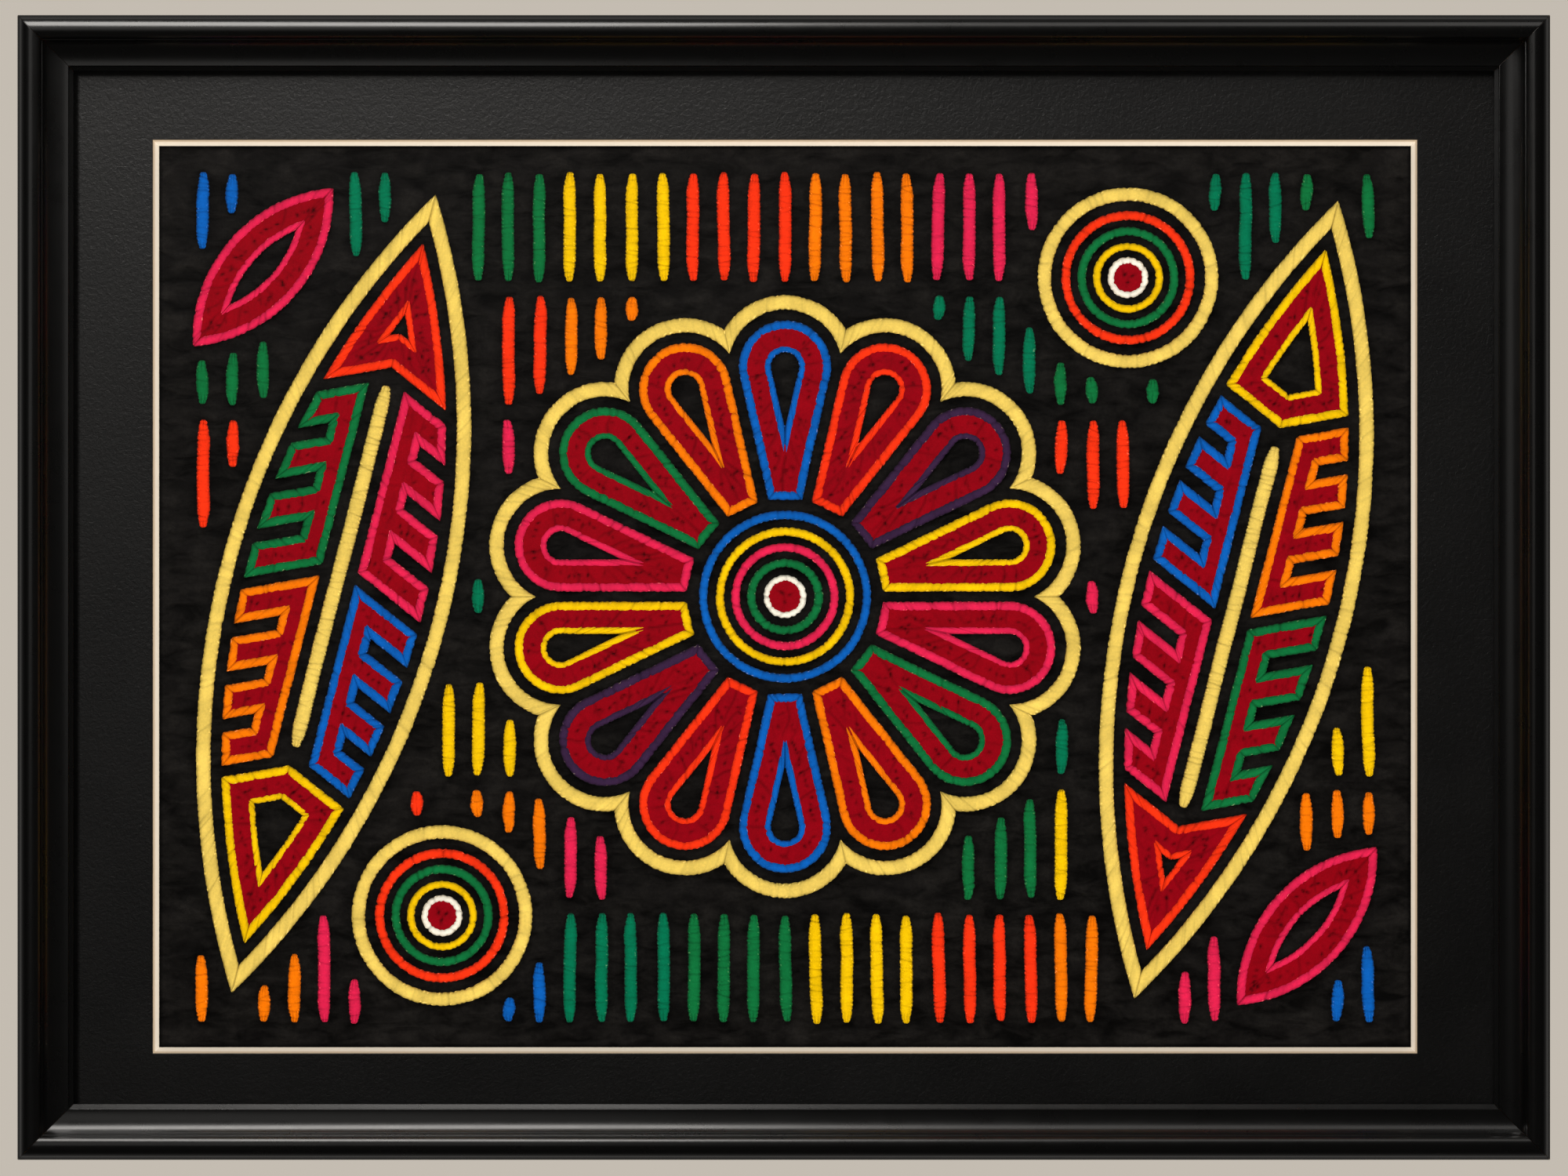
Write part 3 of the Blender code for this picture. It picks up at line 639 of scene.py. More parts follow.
def scalloped_outline(distance):
    """One lobe round each petal's end, the whole drawn in by a distance."""
    lobe_points = 24
    radius = PETAL_REACH - PETAL_CENTRE + COLOUR_GAP + PALE_BAND - distance
    off_axis = PETAL_CENTRE * math.sin(PETAL_HALF_ANGLE)
    valley = PETAL_CENTRE * math.cos(PETAL_HALF_ANGLE) + math.sqrt(radius ** 2 - off_axis ** 2)
    end = math.atan2(valley * math.sin(PETAL_HALF_ANGLE),
                     valley * math.cos(PETAL_HALF_ANGLE) - PETAL_CENTRE)
    turns = end * (2 * np.arange(lobe_points) / lobe_points - 1)
    lobe = np.stack([PETAL_CENTRE + radius * np.cos(turns), radius * np.sin(turns)], 1)
    return np.concatenate([lobe @ turning(angle) for angle in PETAL_TURNS])


def tucks_between(edge_a, edge_b, least=4, most=9):
    """Tucks that run from one edge of a field to the other, every few millimetres."""
    tucks, place = [], chance.uniform(0, most)
    while place < len(edge_a):
        tucks.append((edge_a[int(place)], edge_b[int(place)]))
        place += chance.uniform(least, most)
    return tucks


def holes_between(edge_a, edge_b):
    """Stitch holes that wander along the middle of a field, in runs and alone."""
    holes, place = [], chance.uniform(0, 3)
    while place < len(edge_a):
        share = 0.5 + chance.normal(0, 0.13)
        holes.append(edge_a[int(place)] * (1 - share) + edge_b[int(place)] * share)
        place += chance.uniform(1.5, 2.8) if chance.random() < 0.7 else chance.uniform(4, 8)
    return holes


def bordered_patch(name, outline, colour, angle=0.0):
    """A patch with a strip round it, a crimson field, and a strip round the slot inside."""
    field_end = OUTER_BAND + FIELD_WIDTH

    def edge(distance):
        return turned(outline(distance), angle)

    strip(name + "_border", edge(0.0), edge(OUTER_BAND), colour, (name,))
    strip(name + "_slot_edge", edge(field_end), edge(field_end + INNER_BAND), colour, top=SLOT_EDGE_TOP)
    edge_a, edge_b, _ = stations(edge(OUTER_BAND), edge(field_end), SEWING_STEP)
    field(name + "_field", (edge(OUTER_BAND * HIDDEN_SHARE), edge(field_end + SLOT_LAP)),
          tucks_between(edge_a, edge_b), holes_between(edge_a, edge_b))


strip("flower_outline_strip", turned(scalloped_outline(0.0)), turned(scalloped_outline(PALE_BAND)),
      "pale_yellow", ("flower_outline",), **PALE_FOLDS)
for k, turn in enumerate(PETAL_TURNS):
    bordered_patch(f"petal_{k + 1:02d}", petal_outline, PETAL_COLOURS[k % len(PETAL_COLOURS)], turn)

# The rings lie one inside another round a white-edged crimson eye, each a turned-under
# bias strip of its own colour. The small corner flowers below are made the same way.
FLOWER_RINGS = (
    ("blue", 28.8 * MM, 3.2 * MM),
    ("yellow", 23.2 * MM, 3.2 * MM),
    ("pink", 18.0 * MM, 3.2 * MM),
    ("green", 12.8 * MM, 3.2 * MM),
)
FLOWER_EYE = 7.4 * MM
EYE_BAND = 2.6 * MM


def ring(node, colour, radius, width, angle=0.0, at=(0.0, 0.0)):
    outline = circle(radius, 96)
    folds = {"tuck_depth": 0.6, "squareness": 3.4} if width > OUTER_BAND else {}
    strip(node + "_strip", turned(outline(0.0), angle, at), turned(outline(width), angle, at), colour,
          (node,), **folds)


def eye(name, radius, angle=0.0, at=(0.0, 0.0)):
    outline = circle(radius, 48)
    strip(name + "_rim", turned(outline(0.0), angle, at), turned(outline(EYE_BAND), angle, at), "white",
          (name,))
    centre = turned([(0.0, 0.0)], angle, at)[0]
    spoke = (radius - EYE_BAND) * 0.7
    ends = [centre + spoke * np.array([math.cos(t), math.sin(t)]) for t in (0.4, 2.3, 4.6)]
    field(name + "_middle", (turned(outline(EYE_BAND * HIDDEN_SHARE), angle, at),),
          [(end, centre) for end in ends], [(end + centre) / 2 for end in ends])


for colour, radius, width in FLOWER_RINGS:
    ring(f"ring_{colour}", colour, radius, width)
eye("flower_eye", FLOWER_EYE)

# Each large leaf is a pale turned-under outline and rib. Beside the rib lie combs, patches
# with slanted teeth that reach to the outline, and a patch with a slot fills each tip. What
# lies on the right half of the cloth comes again on the left, turned by half a turn.
HALVES = (("right", 0.0), ("left", math.pi))
LEAF_FOOT = (116.0 * MM, -134.0 * MM)
LEAF_TIP = (184.0 * MM, 132.0 * MM)
LEAF_HALF_WIDTH = 39.0 * MM
COMB_COLOURS = (("green", "pink"), ("orange", "blue"))
COMB_STARTS = (66.0 * MM, 132.2 * MM)
COMB_TEETH = 4
TOOTH = 12.4 * MM
SLOT = 4.4 * MM
SPINE = 10.0 * MM
SLANT = 0.45
TIP_COLOURS = ("vermilion", "yellow")
COMB_ROOT = PALE_BAND / 2 + COLOUR_GAP
COMB_LENGTH = COMB_TEETH * (TOOTH + SLOT) - SLOT


class Leaf:
    """A pointed oval between two equal arcs; p runs along it from the foot, q across it."""

    def __init__(self, foot, tip, half_width):
        self.foot = np.array(foot)
        reach = np.array(tip) - self.foot
        self.length = np.linalg.norm(reach)
        self.along = reach / self.length
        self.across = np.array([-self.along[1], self.along[0]])
        self.radius = ((self.length / 2) ** 2 + half_width ** 2) / (2 * half_width)
        self.centre_q = half_width - self.radius

    def points(self, pairs):
        pairs = np.asarray(pairs, float)
        return self.foot + pairs[:, :1] * self.along + pairs[:, 1:] * self.across

    def tip_at(self, distance, sign):
        """Where the edges meet after they are drawn in, at the foot (-1) or the tip (1)."""
        return self.length / 2 + sign * math.sqrt((self.radius - distance) ** 2 - self.centre_q ** 2)

    def half_width(self, p, distance):
        rise = math.sqrt((self.radius - distance) ** 2 - (p - self.length / 2) ** 2)
        return max(rise + self.centre_q, 0.0)

    def slanted_reach(self, p, q, distance):
        """How far q can grow from (p, q), along the slant, up to the edge drawn in."""
        du = p - self.length / 2
        dv = q - self.centre_q
        a = SLANT ** 2 + 1
        b = SLANT * du + dv
        c = du ** 2 + dv ** 2 - (self.radius - distance) ** 2
        return (math.sqrt(b ** 2 - a * c) - b) / a

    def outline(self, distance):
        count = 61
        first, last = self.tip_at(distance, -1), self.tip_at(distance, 1)
        steps = (first + last) / 2 - (last - first) / 2 * np.cos(math.pi * np.arange(count) / (count - 1))
        right = [(p, -self.half_width(p, distance)) for p in steps[:-1]]
        left = [(p, self.half_width(p, distance)) for p in steps[:0:-1]]
        return self.points(right + left)

    def tip_patch(self, sign):
        """The outline that fills the foot (-1) or the tip (1), cut off along the combs' slant."""
        count = 20
        slope = math.sqrt(1 + SLANT ** 2)
        if sign < 0:
            cut = COMB_STARTS[0] - SLANT * COMB_ROOT - COLOUR_GAP * slope
        else:
            cut = COMB_STARTS[1] + COMB_LENGTH - SLANT * COMB_ROOT + COLOUR_GAP * slope

        def outline(distance):
            inner = PALE_BAND + COLOUR_GAP + distance
            start = cut + sign * distance * slope
            corner = start + SLANT * self.slanted_reach(start, 0.0, inner)
            end = self.tip_at(inner, sign)
            steps = corner + (end - corner) * np.sin(math.pi / 2 * np.arange(count + 1) / count)
            side = [(p, self.half_width(p, inner)) for p in steps]
            pairs = [(start, 0.0)] + [(p, -q) for p, q in side] + [(p, q) for p, q in side[-2::-1]]
            return self.points(pairs if sign > 0 else pairs[::-1])
        return outline

    def comb(self, start, side):
        """A spine beside the rib, with slanted teeth that reach to the leaf's edge."""
        border = PALE_BAND + COLOUR_GAP
        pairs = [(start, COMB_ROOT)]
        for tooth in range(COMB_TEETH):
            low = start + tooth * (TOOTH + SLOT)
            high = low + TOOTH
            low_reach = self.slanted_reach(low, COMB_ROOT, border)
            high_reach = self.slanted_reach(high, COMB_ROOT, border)
            if tooth > 0:
                pairs.append((low + SLANT * SPINE, COMB_ROOT + SPINE))
            pairs.append((low + SLANT * low_reach, COMB_ROOT + low_reach))
            pairs.append((high + SLANT * high_reach, COMB_ROOT + high_reach))
            if tooth < COMB_TEETH - 1:
                pairs.append((high + SLANT * SPINE, COMB_ROOT + SPINE))
        pairs.append((start + COMB_LENGTH, COMB_ROOT))
        loop = self.points([(p, q * side) for p, q in pairs])
        return loop if side < 0 else loop[::-1]


def drawn_in(loop, distance):
    """A counter-clockwise outline moved inwards by a distance, with mitred corners."""
    edge = np.roll(loop, -1, 0) - loop
    edge /= np.linalg.norm(edge, axis=1)[:, None]
    after = np.stack([-edge[:, 1], edge[:, 0]], 1)
    before = np.roll(after, 1, 0)
    return loop + distance * (before + after) / (1 + (before * after).sum(1))[:, None]


def comb_sewing(leaf, start, side, angle):
    """Tucks across each tooth and the spine between the teeth, and holes along the teeth."""
    tucks, holes = [], []
    for tooth in range(COMB_TEETH):
        low = start + tooth * (TOOTH + SLOT) + OUTER_BAND
        high = low + TOOTH - 2 * OUTER_BAND
        reach = SEWING_STEP * np.arange(3, 32)
        edges = [turned(leaf.points(np.c_[p + SLANT * reach, side * (COMB_ROOT + reach)]), angle)
                 for p in (low, high)]
        tucks += tucks_between(*edges, 3.5, 7)
        holes += holes_between(*edges)
        if tooth < COMB_TEETH - 1:
            p = high + OUTER_BAND + SLOT / 2
            pair = [(p, side * (COMB_ROOT + OUTER_BAND)), (p, side * (COMB_ROOT + SPINE - OUTER_BAND))]
            tucks.append(tuple(turned(leaf.points(pair), angle)))
    return tucks, holes


large_leaf = Leaf(LEAF_FOOT, LEAF_TIP, LEAF_HALF_WIDTH)
rib_end = COMB_STARTS[1] + COMB_LENGTH - 2 * SLANT * COMB_ROOT
for place, angle in HALVES:
    strip(f"leaf_{place}_outline_strip", turned(large_leaf.outline(0.0), angle),
          turned(large_leaf.outline(PALE_BAND), angle), "pale_yellow", (f"leaf_{place}_outline",),
          **PALE_FOLDS)
    for row, start in enumerate(COMB_STARTS):
        for column, side in enumerate((-1, 1)):
            name = f"leaf_{place}_comb_{2 * row + column + 1}"
            edge = large_leaf.comb(start, side)
            colour = COMB_COLOURS[row][column]
            strip(name + "_border", turned(edge, angle), turned(drawn_in(edge, OUTER_BAND), angle), colour,
                  (name,))
            field(name + "_field", (turned(drawn_in(edge, OUTER_BAND * HIDDEN_SHARE), angle),),
                  *comb_sewing(large_leaf, start, side, angle))
    for colour, sign, end in zip(TIP_COLOURS, (-1, 1), ("foot", "tip")):
        bordered_patch(f"leaf_{place}_{end}", large_leaf.tip_patch(sign), colour, angle)

# The short bars, such as the ribs of the leaves and the slits that fill the ground, are strips
# of cotton laid under a slit in the ground. They are creased across every few millimetres,
# and their blunt ends are gathered into two or three small lengthwise folds.
SLIT_COLOURS = ("orange", "green", "pink", "yellow", "blue", "vermilion", "teal")
BAR_STEP = 0.33 * MM
BAR_TOP = CLOTH_FRONT + 0.9 * MM
BAR_ACROSS = np.linspace(0.0, 1.0, 13)


def bar(start, end, width):
    """Points, faces and shades of one bar that runs from start to end."""
    stitch_pitch, crease_gap, crease_spread, crease_pull = 1.3 * MM, 1.7 * MM, 0.24 * MM, 0.12 * MM
    longest_taper, blunt_end, sway, bare_thread_gap = 7.5 * MM, 0.9 * MM, 0.2, 4 * MM
    start, end = np.asarray(start, float), np.asarray(end, float)
    length = np.linalg.norm(end - start)
    along = (end - start) / length
    across = np.array([-along[1], along[0]])
    rows = max(8, round(length / BAR_STEP))
    even = np.linspace(0, 1, rows + 1)
    s = length * (0.2 * (1 - np.cos(math.pi * even)) / 2 + 0.8 * even)
    to_end = np.minimum(s, length - s)
    taper = min(longest_taper, length * 0.48)
    slim = 0.5 + 0.5 * np.sin(np.clip(to_end / taper, 0, 1) * math.pi / 2)
    tip = np.sqrt(np.clip(1 - (1 - np.clip(to_end / blunt_end, 0, 1)) ** 2, 0.02, 1))
    bend = np.interp(s, np.linspace(0, length, 6), chance.uniform(-sway, sway, 6) * MM)
    half = width / 2 * slim * (0.55 + 0.45 * tip)
    count = max(1, round(length / crease_gap))
    crease = tucks_across(s, 2 * length, 2 * count, 1.0, crease_spread, BAR_ACROSS)
    gather = np.zeros((rows + 1, len(BAR_ACROSS)))
    for side in (s, length - s):
        reach = chance.uniform(2.8, 4.8) * MM
        for place in (0.33, 0.67) if chance.random() < 0.6 else (0.5,):
            groove = np.exp(-((BAR_ACROSS - place + chance.uniform(-0.06, 0.06)) / 0.055) ** 2)
            gather += np.clip(1 - side / reach, 0, 1)[:, None] ** 0.7 * groove
    gather = np.clip(gather, 0, 1)
    puff = (1 - np.abs(2 * BAR_ACROSS - 1) ** 2.5) ** 0.5
    dented = 1 - 0.26 * crease - 0.5 * gather
    height = HIDDEN_EDGE + (BAR_TOP - HIDDEN_EDGE) * puff * tip[:, None] * dented
    left, right = [half + 0.1 * MM - crease_pull * crease[:, side]
                   - sewn_edge(s, length, stitch_pitch) * 0.8 for side in (0, -1)]
    offset = bend[:, None] - left[:, None] * (1 - BAR_ACROSS) + right[:, None] * BAR_ACROSS
    spots = start + s[:, None, None] * along + offset[..., None] * across
    columns = len(BAR_ACROSS)
    points = np.c_[spots.reshape(-1, 2), height.ravel()]
    grid = np.arange((rows + 1) * columns).reshape(rows + 1, columns)
    faces = [*map(tuple, quads_between(grid[:-1], grid[1:])), tuple(grid[0]), tuple(grid[-1])]
    sewn_points.extend(spots[::4, 0].tolist() + spots[::4, -1].tolist())
    # Painted shade: darker in the creases, in the gathered ends and towards both edges.
    shade = 1.1 - 0.5 * crease - 0.6 * gather - 0.8 * (1 - puff)
    pale_threads_and_highlights(shade, rows, BAR_STEP / bare_thread_gap, 1.7)
    return points, faces, shade.reshape(-1)


def bars(name, places, colour, width, nodes=()):
    """One object of all bars of one colour; places are pairs of a start and an end."""
    points, faces, shades, count = [], [], [], 0
    for start, end in places:
        more, quads, shade = bar(start, end, width)
        faces += [tuple(int(i) + count for i in quad) for quad in quads]
        points.append(more)
        shades.append(shade)
        count += len(more)
    piece = shown_mesh(name, np.concatenate(points), faces, [dyed_cotton(colour)])
    set_shade(piece, np.concatenate(shades))
    sewn(piece, colour, *nodes)


for place, angle in HALVES:
    ends = turned(large_leaf.points([(COMB_STARTS[0], 0.0), (rib_end, 0.0)]), angle)
    bars(f"leaf_{place}_rib_bar", [tuple(ends)], "pale_yellow", PALE_BAND, (f"leaf_{place}_rib",))

# In two corners lies a small pink leaf, and in the other two a small round flower whose
# rings are sewn like those of the large one.
SMALL_LEAF_FOOT = (150.0 * MM, -136.0 * MM)
SMALL_LEAF_TIP = (197.0 * MM, -83.0 * MM)
SMALL_LEAF_HALF_WIDTH = 14.5 * MM
SMALL_FLOWER = (114.0 * MM, 106.0 * MM)
SMALL_RINGS = (
    ("pale_yellow", 30.2 * MM, 4.8 * MM),
    ("vermilion", 22.4 * MM, 3.4 * MM),
    ("green", 17.0 * MM, 3.2 * MM),
    ("yellow", 11.8 * MM, 2.8 * MM),
)
SMALL_EYE = 7.0 * MM
small_leaf = Leaf(SMALL_LEAF_FOOT, SMALL_LEAF_TIP, SMALL_LEAF_HALF_WIDTH)
for place, angle in HALVES:
    bordered_patch(f"small_leaf_{place}", small_leaf.outline, "pink", angle)
    for colour, radius, width in SMALL_RINGS:
        ring(f"small_flower_{place}_{colour}", colour, radius, width, angle, SMALL_FLOWER)
    eye(f"small_flower_{place}_eye", SMALL_EYE, angle, SMALL_FLOWER)

# The slits stand in rows over all the free ground. A maker fits each row's slits between
# the patches, and changes the colour under them every few slits.
SLIT_MARGIN_U = 6.5 * MM
SLIT_MARGIN_V = 6.0 * MM
SLIT_ROWS = 7
SLIT_PITCH = 10.2 * MM
SLIT_WIDTH = 5.0 * MM
SLIT_SHORTEST = 8.0 * MM
SLIT_ROW_GAP = 4.4 * MM
SLIT_STEP = 1.0 * MM
SLIT_CLEARANCE = 3.4 * MM
SLITS_TO_A_COLOUR = 4


def ground_is_free(u, v):
    """Whether this point of the pattern keeps clear of every patch and of the edges."""
    if abs(u) > WINDOW_WIDTH / 2 - SLIT_MARGIN_U or abs(v) > WINDOW_HEIGHT / 2 - SLIT_MARGIN_V:
        return False
    lobe = PETAL_REACH - PETAL_CENTRE + COLOUR_GAP + PALE_BAND + SLIT_CLEARANCE
    if math.hypot(u, v) < PETAL_REACH:
        return False
    for turn in PETAL_TURNS:
        if math.hypot(u - PETAL_CENTRE * math.cos(turn), v - PETAL_CENTRE * math.sin(turn)) < lobe:
            return False
    for sign in (1, -1):
        away = math.hypot(sign * u - SMALL_FLOWER[0], sign * v - SMALL_FLOWER[1])
        if away < SMALL_RINGS[0][1] + SLIT_CLEARANCE:
            return False
        for leaf in (large_leaf, small_leaf):
            spot = np.array([sign * u, sign * v]) - leaf.foot
            p = spot @ leaf.along - leaf.length / 2
            q = abs(spot @ leaf.across)
            if math.hypot(p, q - leaf.centre_q) < leaf.radius + SLIT_CLEARANCE:
                return False
    return True


def slit_places():
    """The slits of each colour, as pairs of a lower and an upper end."""
    columns = int((WINDOW_WIDTH / 2 - SLIT_MARGIN_U - SLIT_WIDTH / 2) / SLIT_PITCH)
    row_height = (WINDOW_HEIGHT - 2 * SLIT_MARGIN_V) / SLIT_ROWS
    places = {colour: [] for colour in SLIT_COLOURS}
    for column in range(-columns, columns + 1):
        u = column * SLIT_PITCH
        for row in range(SLIT_ROWS):
            group = (column + columns) // SLITS_TO_A_COLOUR
            colour = SLIT_COLOURS[(3 * row + 2 * group) % len(SLIT_COLOURS)]
            low = -WINDOW_HEIGHT / 2 + SLIT_MARGIN_V + row * row_height + SLIT_ROW_GAP / 2
            steps = int((row_height - SLIT_ROW_GAP) / SLIT_STEP)
            run = []
            for step in range(steps + 2):
                v = low + step * SLIT_STEP
                sides = (u - SLIT_WIDTH / 2, u, u + SLIT_WIDTH / 2)
                if step <= steps and all(ground_is_free(side, v) for side in sides):
                    run.append(v)
                    continue
                if run and run[-1] - run[0] >= SLIT_SHORTEST:
                    ends = np.array([(u, run[0]), (u, run[-1])]) + chance.uniform(-0.5, 0.5, (2, 2)) * MM
                    places[colour].append(tuple(turned(ends)))
                run = []
    return places


for colour, places in slit_places().items():
    bars(f"slits_{colour}", places, colour, SLIT_WIDTH - 0.5 * MM)

# The ground is one sheet of black cotton stretched over the backing board. Its weave is
# plain, and the stitching of the strips and slits has pulled it into shallow puckers.
GROUND_CELL = 1.6 * MM
cloth_low, cloth_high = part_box("ground_cloth")
GROUND_WIDTH = cloth_high.x - cloth_low.x
GROUND_HEIGHT = cloth_high.z - cloth_low.z
GROUND_BACK = -cloth_high.y


def black_ground_cotton():
    """Plain-woven rusty black cotton: dull, linty, with painted light and shade on its puckers and painted
    shade beside seams.
    """
    material, shader, place = new_material("black ground cotton")
    slub = blotches(material, place, across_mm=1.1, detail=4.0, roughness=0.7)
    fade = blotches(material, place, across_mm=9.0, detail=3.0)
    uneven = combined(material, "MULTIPLY", slub, fade)
    dye = toned(material, uneven, ((0.14, "0B0A0A"), (0.38, "141312")))
    stretch = add_node(material, "Mapping", "Vector", {
        "Vector": place, "Scale": (0.4, 1.0, 1.0), "Rotation": (0.0, 0.25, 0.0)})
    pucker = blotches(material, stretch, across_mm=4.5, detail=2.5, roughness=0.6, distortion=0.5)
    # Painted light and shade: the puckers that make the bump also lighten their ridges and darken their
    # troughs in the colour.
    pucker_light_and_shade = add_node(material, "MapRange", "Result", {
        "Value": pucker, "From Min": 0.32, "From Max": 0.7, "To Min": 0.35, "To Max": 1.9})
    painted_light = add_node(material, "Attribute", "Fac", attribute_name="shade")
    shade = combined(material, "MULTIPLY", pucker_light_and_shade, painted_light)
    tone = add_node(material, "VectorMath", "Vector", {0: dye, "Scale": shade}, operation="SCALE")
    threads = plain_weave(material, place, 0.8, slub)
    set_inputs(material, shader, {
        "Base Color": tone, "Roughness": 0.9, "IOR": 1.45, "Specular IOR Level": 0.1,
        "Sheen Weight": 0.01, "Sheen Roughness": 0.5,
        "Normal": bumps(material, pucker, strength=1.0, depth_mm=1.0, Normal=threads)})
    return material


def ground_lines(middle, size, window):
    """Places of the sheet's points along one way, even but for some close to the mat's foot."""
    count = round(size / GROUND_CELL)
    foot = [side * (window / 2 - step * MM) for side in (-1, 1) for step in (-0.2, 0.3, 0.9, 1.5)]
    return middle + np.unique(np.round(np.append(np.linspace(-size / 2, size / 2, count + 1), foot), 6))


def ground_sheet():
    """The stretched sheet: drawn down beside each seam, loose and wavy between them."""
    seam_depth, seam_reach, loose_reach, seam_shade_reach = 0.22, 1.6 * MM, 2.5 * MM, 1.2 * MM
    broad_height, broad_size, fine_height, fine_size = 0.22, 9 * MM, 0.1, 3.6 * MM
    mat_shadow = 1.5 * MM
    tree = kdtree.KDTree(len(sewn_points))
    for i, (u, v) in enumerate(sewn_points):
        tree.insert((u, v, 0.0), i)
    tree.balance()
    u_lines = ground_lines(WINDOW_CENTRE[0], GROUND_WIDTH, WINDOW_WIDTH)
    v_lines = ground_lines(WINDOW_CENTRE[1], GROUND_HEIGHT, WINDOW_HEIGHT)
    columns, rows = len(u_lines) - 1, len(v_lines) - 1
    points, shade = [], []
    for v in v_lines:
        for u in u_lines:
            away = tree.find((u, v, 0.0))[2]
            pulled = math.exp(-away / seam_reach)
            loose = 1 - math.exp(-away / loose_reach)
            wave = broad_height * noise.noise(Vector((u, v, 0.3)) / broad_size)
            wave += fine_height * noise.noise(Vector((u, v, 4.0)) / fine_size)
            points.append((u, v, CLOTH_FRONT + (wave * (0.4 + loose) - seam_depth * pulled) * MM))
            # Painted shade: the cloth is darker beside each seam and along the mat's foot.
            to_mat = min(WINDOW_WIDTH / 2 - abs(u - WINDOW_CENTRE[0]),
                         WINDOW_HEIGHT / 2 - abs(v - WINDOW_CENTRE[1]))
            in_the_open = min(max(to_mat / mat_shadow, 0.1), 1.0)
            shade.append((1 - 0.5 * math.exp(-away / seam_shade_reach)) * in_the_open)
    across = columns + 1
    faces = []
    for row in range(rows):
        for column in range(columns):
            a = row * across + column
            faces.append((a, a + 1, a + across + 1, a + across))
    rim = list(range(columns))
    rim += [row * across + columns for row in range(rows)]
    rim += [rows * across + column for column in range(columns, 0, -1)]
    rim += [row * across for row in range(rows, 0, -1)]
    first = len(points)
    points += [(points[i][0], points[i][1], GROUND_BACK) for i in rim]
    for i in range(len(rim)):
        j = (i + 1) % len(rim)
        faces.append((rim[i], rim[j], first + j, first + i))
    faces.append(tuple(range(first, first + len(rim))))
    piece = shown_mesh("ground_cloth_sheet", points, faces, [black_ground_cotton()])
    set_shade(piece, np.array(shade + [1.0] * len(rim)))
    piece.data.set_sharp_from_angle(angle=math.radians(60))
    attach(piece, "root")
    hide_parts("ground_cloth")


ground_sheet()

# The panel is seen square on, from far enough that its sides don't show. Large soft lights
# on the left and low on the right light the cloth, and small ones near it show in the gloss
# alone, so that the beads catch them. A floor far below has a wide light of its own.
PHOTO_WIDTH, PHOTO_HEIGHT = 2000, 1500
FRAME_LEFT_PX, FRAME_RIGHT_PX = 22.3, 1977.2
FRAME_TOP_PX, FRAME_BOTTOM_PX = 19.1, 1479.5
LENS_MM, SENSOR_MM = 300.0, 36.0
PANEL_MIDDLE = (CENTRE_X, 0.0, CENTRE_Z)
FLOOR_SIZE = 30.0
FLOOR_MIDDLE = (0.0, 0.0, -1.7)


def camera():
    metre_px = (FRAME_RIGHT_PX - FRAME_LEFT_PX) / FRAME_WIDTH
    view_width = PHOTO_WIDTH / metre_px
    distance = view_width * LENS_MM / SENSOR_MM + SHOULDER_HEIGHT
    right = (PHOTO_WIDTH / 2 - (FRAME_LEFT_PX + FRAME_RIGHT_PX) / 2) / metre_px
    down = (PHOTO_HEIGHT / 2 - (FRAME_TOP_PX + FRAME_BOTTOM_PX) / 2) / metre_px
    data = bpy.data.cameras.new("camera")
    data.lens = LENS_MM
    data.sensor_width = SENSOR_MM
    data.clip_start = 0.1
    data.clip_end = 60.0
    seer = bpy.data.objects.new("camera", data)
    seer.location = (CENTRE_X + right, -distance, CENTRE_Z - down)
    seer.rotation_euler = (math.pi / 2, 0.0, 0.0)
    bpy.context.collection.objects.link(seer)
    bpy.context.scene.camera = seer


def area_light(name, place, aim, width, height, power, colour, in_gloss):
    """A soft box. One kind lights the dull surfaces and the other only shows in the gloss."""
    data = bpy.data.lights.new(name, "AREA")
    data.shape = "RECTANGLE"
    data.size, data.size_y = width, height
    data.energy = power
    data.color = linear_colour(colour)[:3]
    lamp = bpy.data.objects.new(name, data)
    lamp.location = place
    lamp.rotation_euler = (Vector(aim) - Vector(place)).to_track_quat("-Z", "Y").to_euler()
    lamp.visible_camera = False
    lamp.visible_glossy = in_gloss
    lamp.visible_diffuse = not in_gloss
    bpy.context.collection.objects.link(lamp)


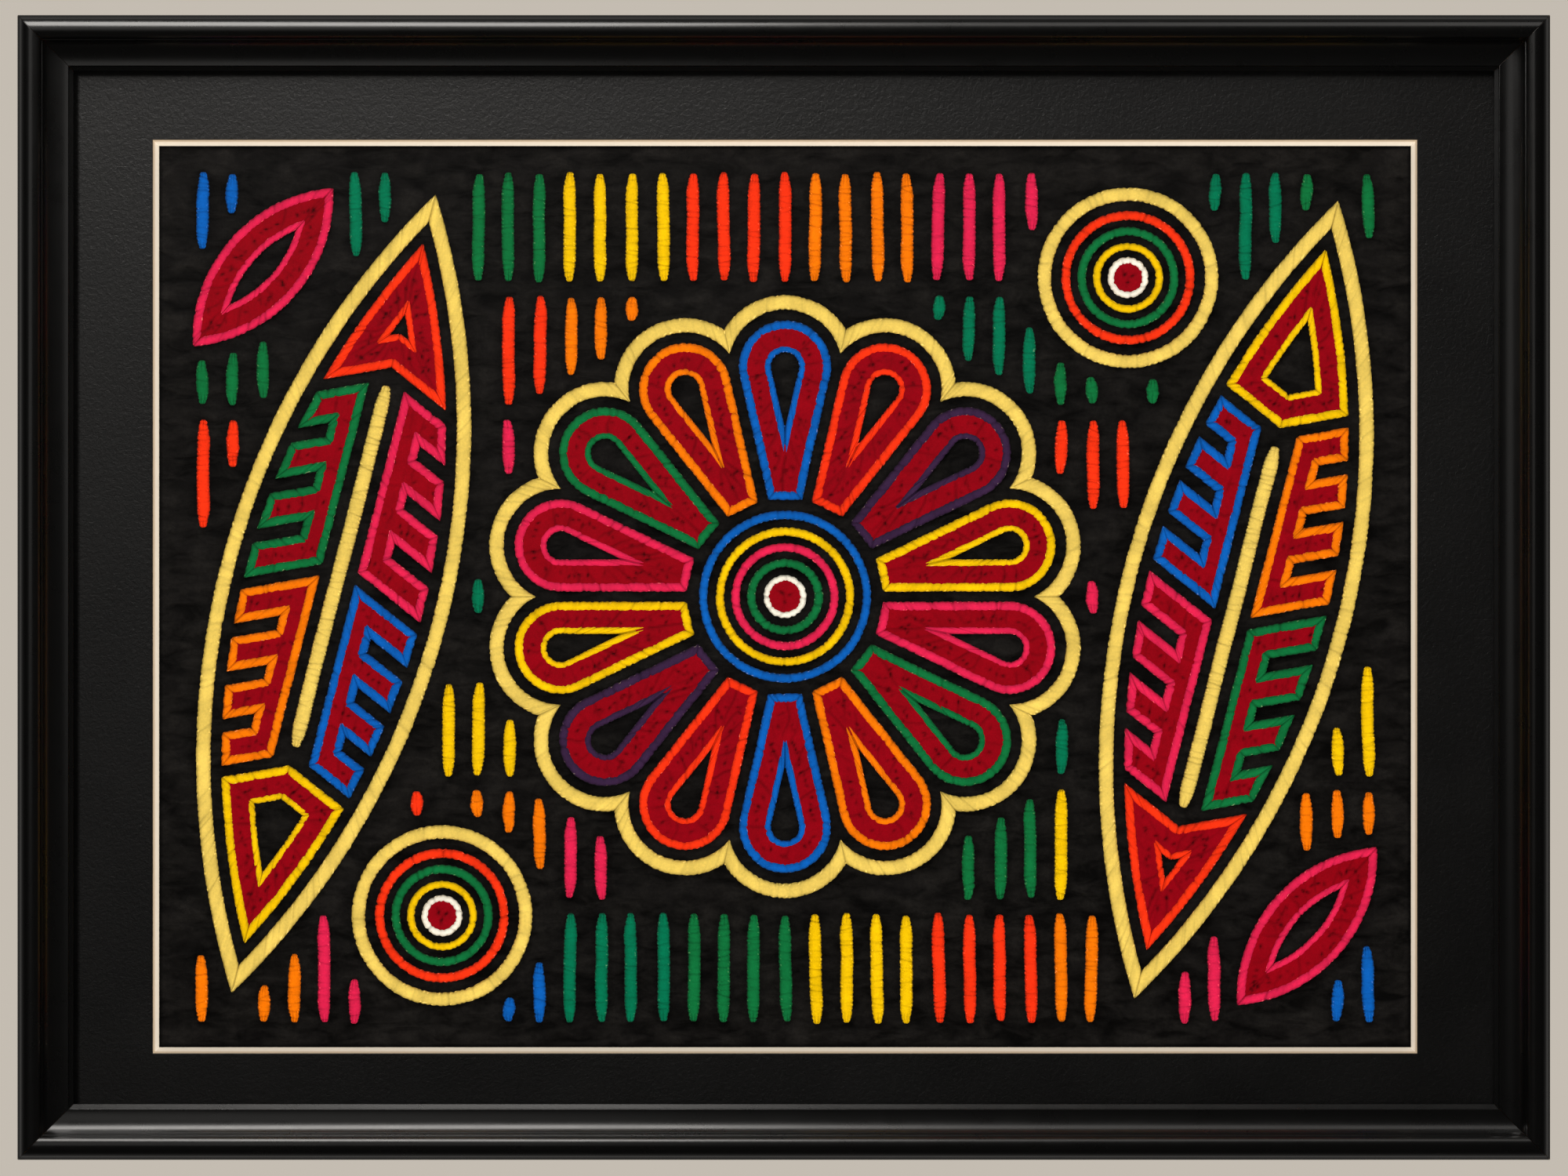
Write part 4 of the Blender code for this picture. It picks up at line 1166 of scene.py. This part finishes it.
def room():
    """An even pale room for the camera; round the panel it is dim in front and paler behind."""
    world = bpy.data.worlds.new("pale room")
    world.use_nodes = True
    bpy.context.scene.world = world
    place = add_node(world, "TexCoord", "Generated")
    split = add_node(world, "SeparateXYZ", "Y", {"Vector": place})
    behind = add_node(world, "MapRange", "Result", {
        "Value": split, "From Min": -0.2, "From Max": 0.5, "To Min": 0.035, "To Max": 0.28})
    around = add_node(world, "Background", "Background", {
        "Color": linear_colour("F4F0EA"), "Strength": behind})
    seen = add_node(world, "Background", "Background", {"Color": linear_colour("C4BCB1"), "Strength": 1.0})
    path = add_node(world, "LightPath", "Is Camera Ray")
    mixed = add_node(world, "MixShader", "Shader", {0: path, 1: around, 2: seen})
    set_inputs(world, world.node_tree.nodes["World Output"], {"Surface": mixed})


def pale_floor():
    bpy.ops.mesh.primitive_plane_add(size=FLOOR_SIZE, location=FLOOR_MIDDLE)
    floor = bpy.context.object
    floor.name = "floor"
    material, shader, _ = new_material("pale plaster floor")
    set_inputs(material, shader, {"Base Color": linear_colour("E2DED8"), "Roughness": 0.9})
    floor.data.materials.append(material)
    floor.visible_glossy = False


camera()
area_light("key", (-1.0, -2.45, 0.85), PANEL_MIDDLE, 1.0, 0.9, 39.0, "FFF9F0", False)
area_light("fill", (1.3, -2.5, -0.8), PANEL_MIDDLE, 2.2, 1.8, 44.0, "FFFAF4", False)
area_light("back light", (0.9, 1.9, 1.1), PANEL_MIDDLE, 1.6, 1.2, 70.0, "FFF9F2", False)
area_light("floor light", (0.0, 0.01, -0.85), FLOOR_MIDDLE, FLOOR_SIZE, FLOOR_SIZE, 1300.0, "FFF9F2", False)
area_light("strip in the gloss", (-0.18, -0.22, CENTRE_Z + 0.41), (-0.08, 0.0, CENTRE_Z + 0.1),
           0.36, 0.22, 2.9, "FFFBF6", True)
area_light("faint strip in the gloss", (0.2, -0.22, CENTRE_Z + 0.41), (0.17, 0.0, CENTRE_Z + 0.1),
           0.36, 0.22, 0.34, "FFFBF6", True)
area_light("screen in the gloss", (-0.34, -0.82, CENTRE_Z + 0.24), (-0.34, 0.0, CENTRE_Z + 0.24),
           0.5, 0.55, 0.5, "FFFBF6", True)
room()
pale_floor()
bpy.context.scene.view_settings.view_transform = "Standard"
bpy.context.scene.view_settings.look = "None"
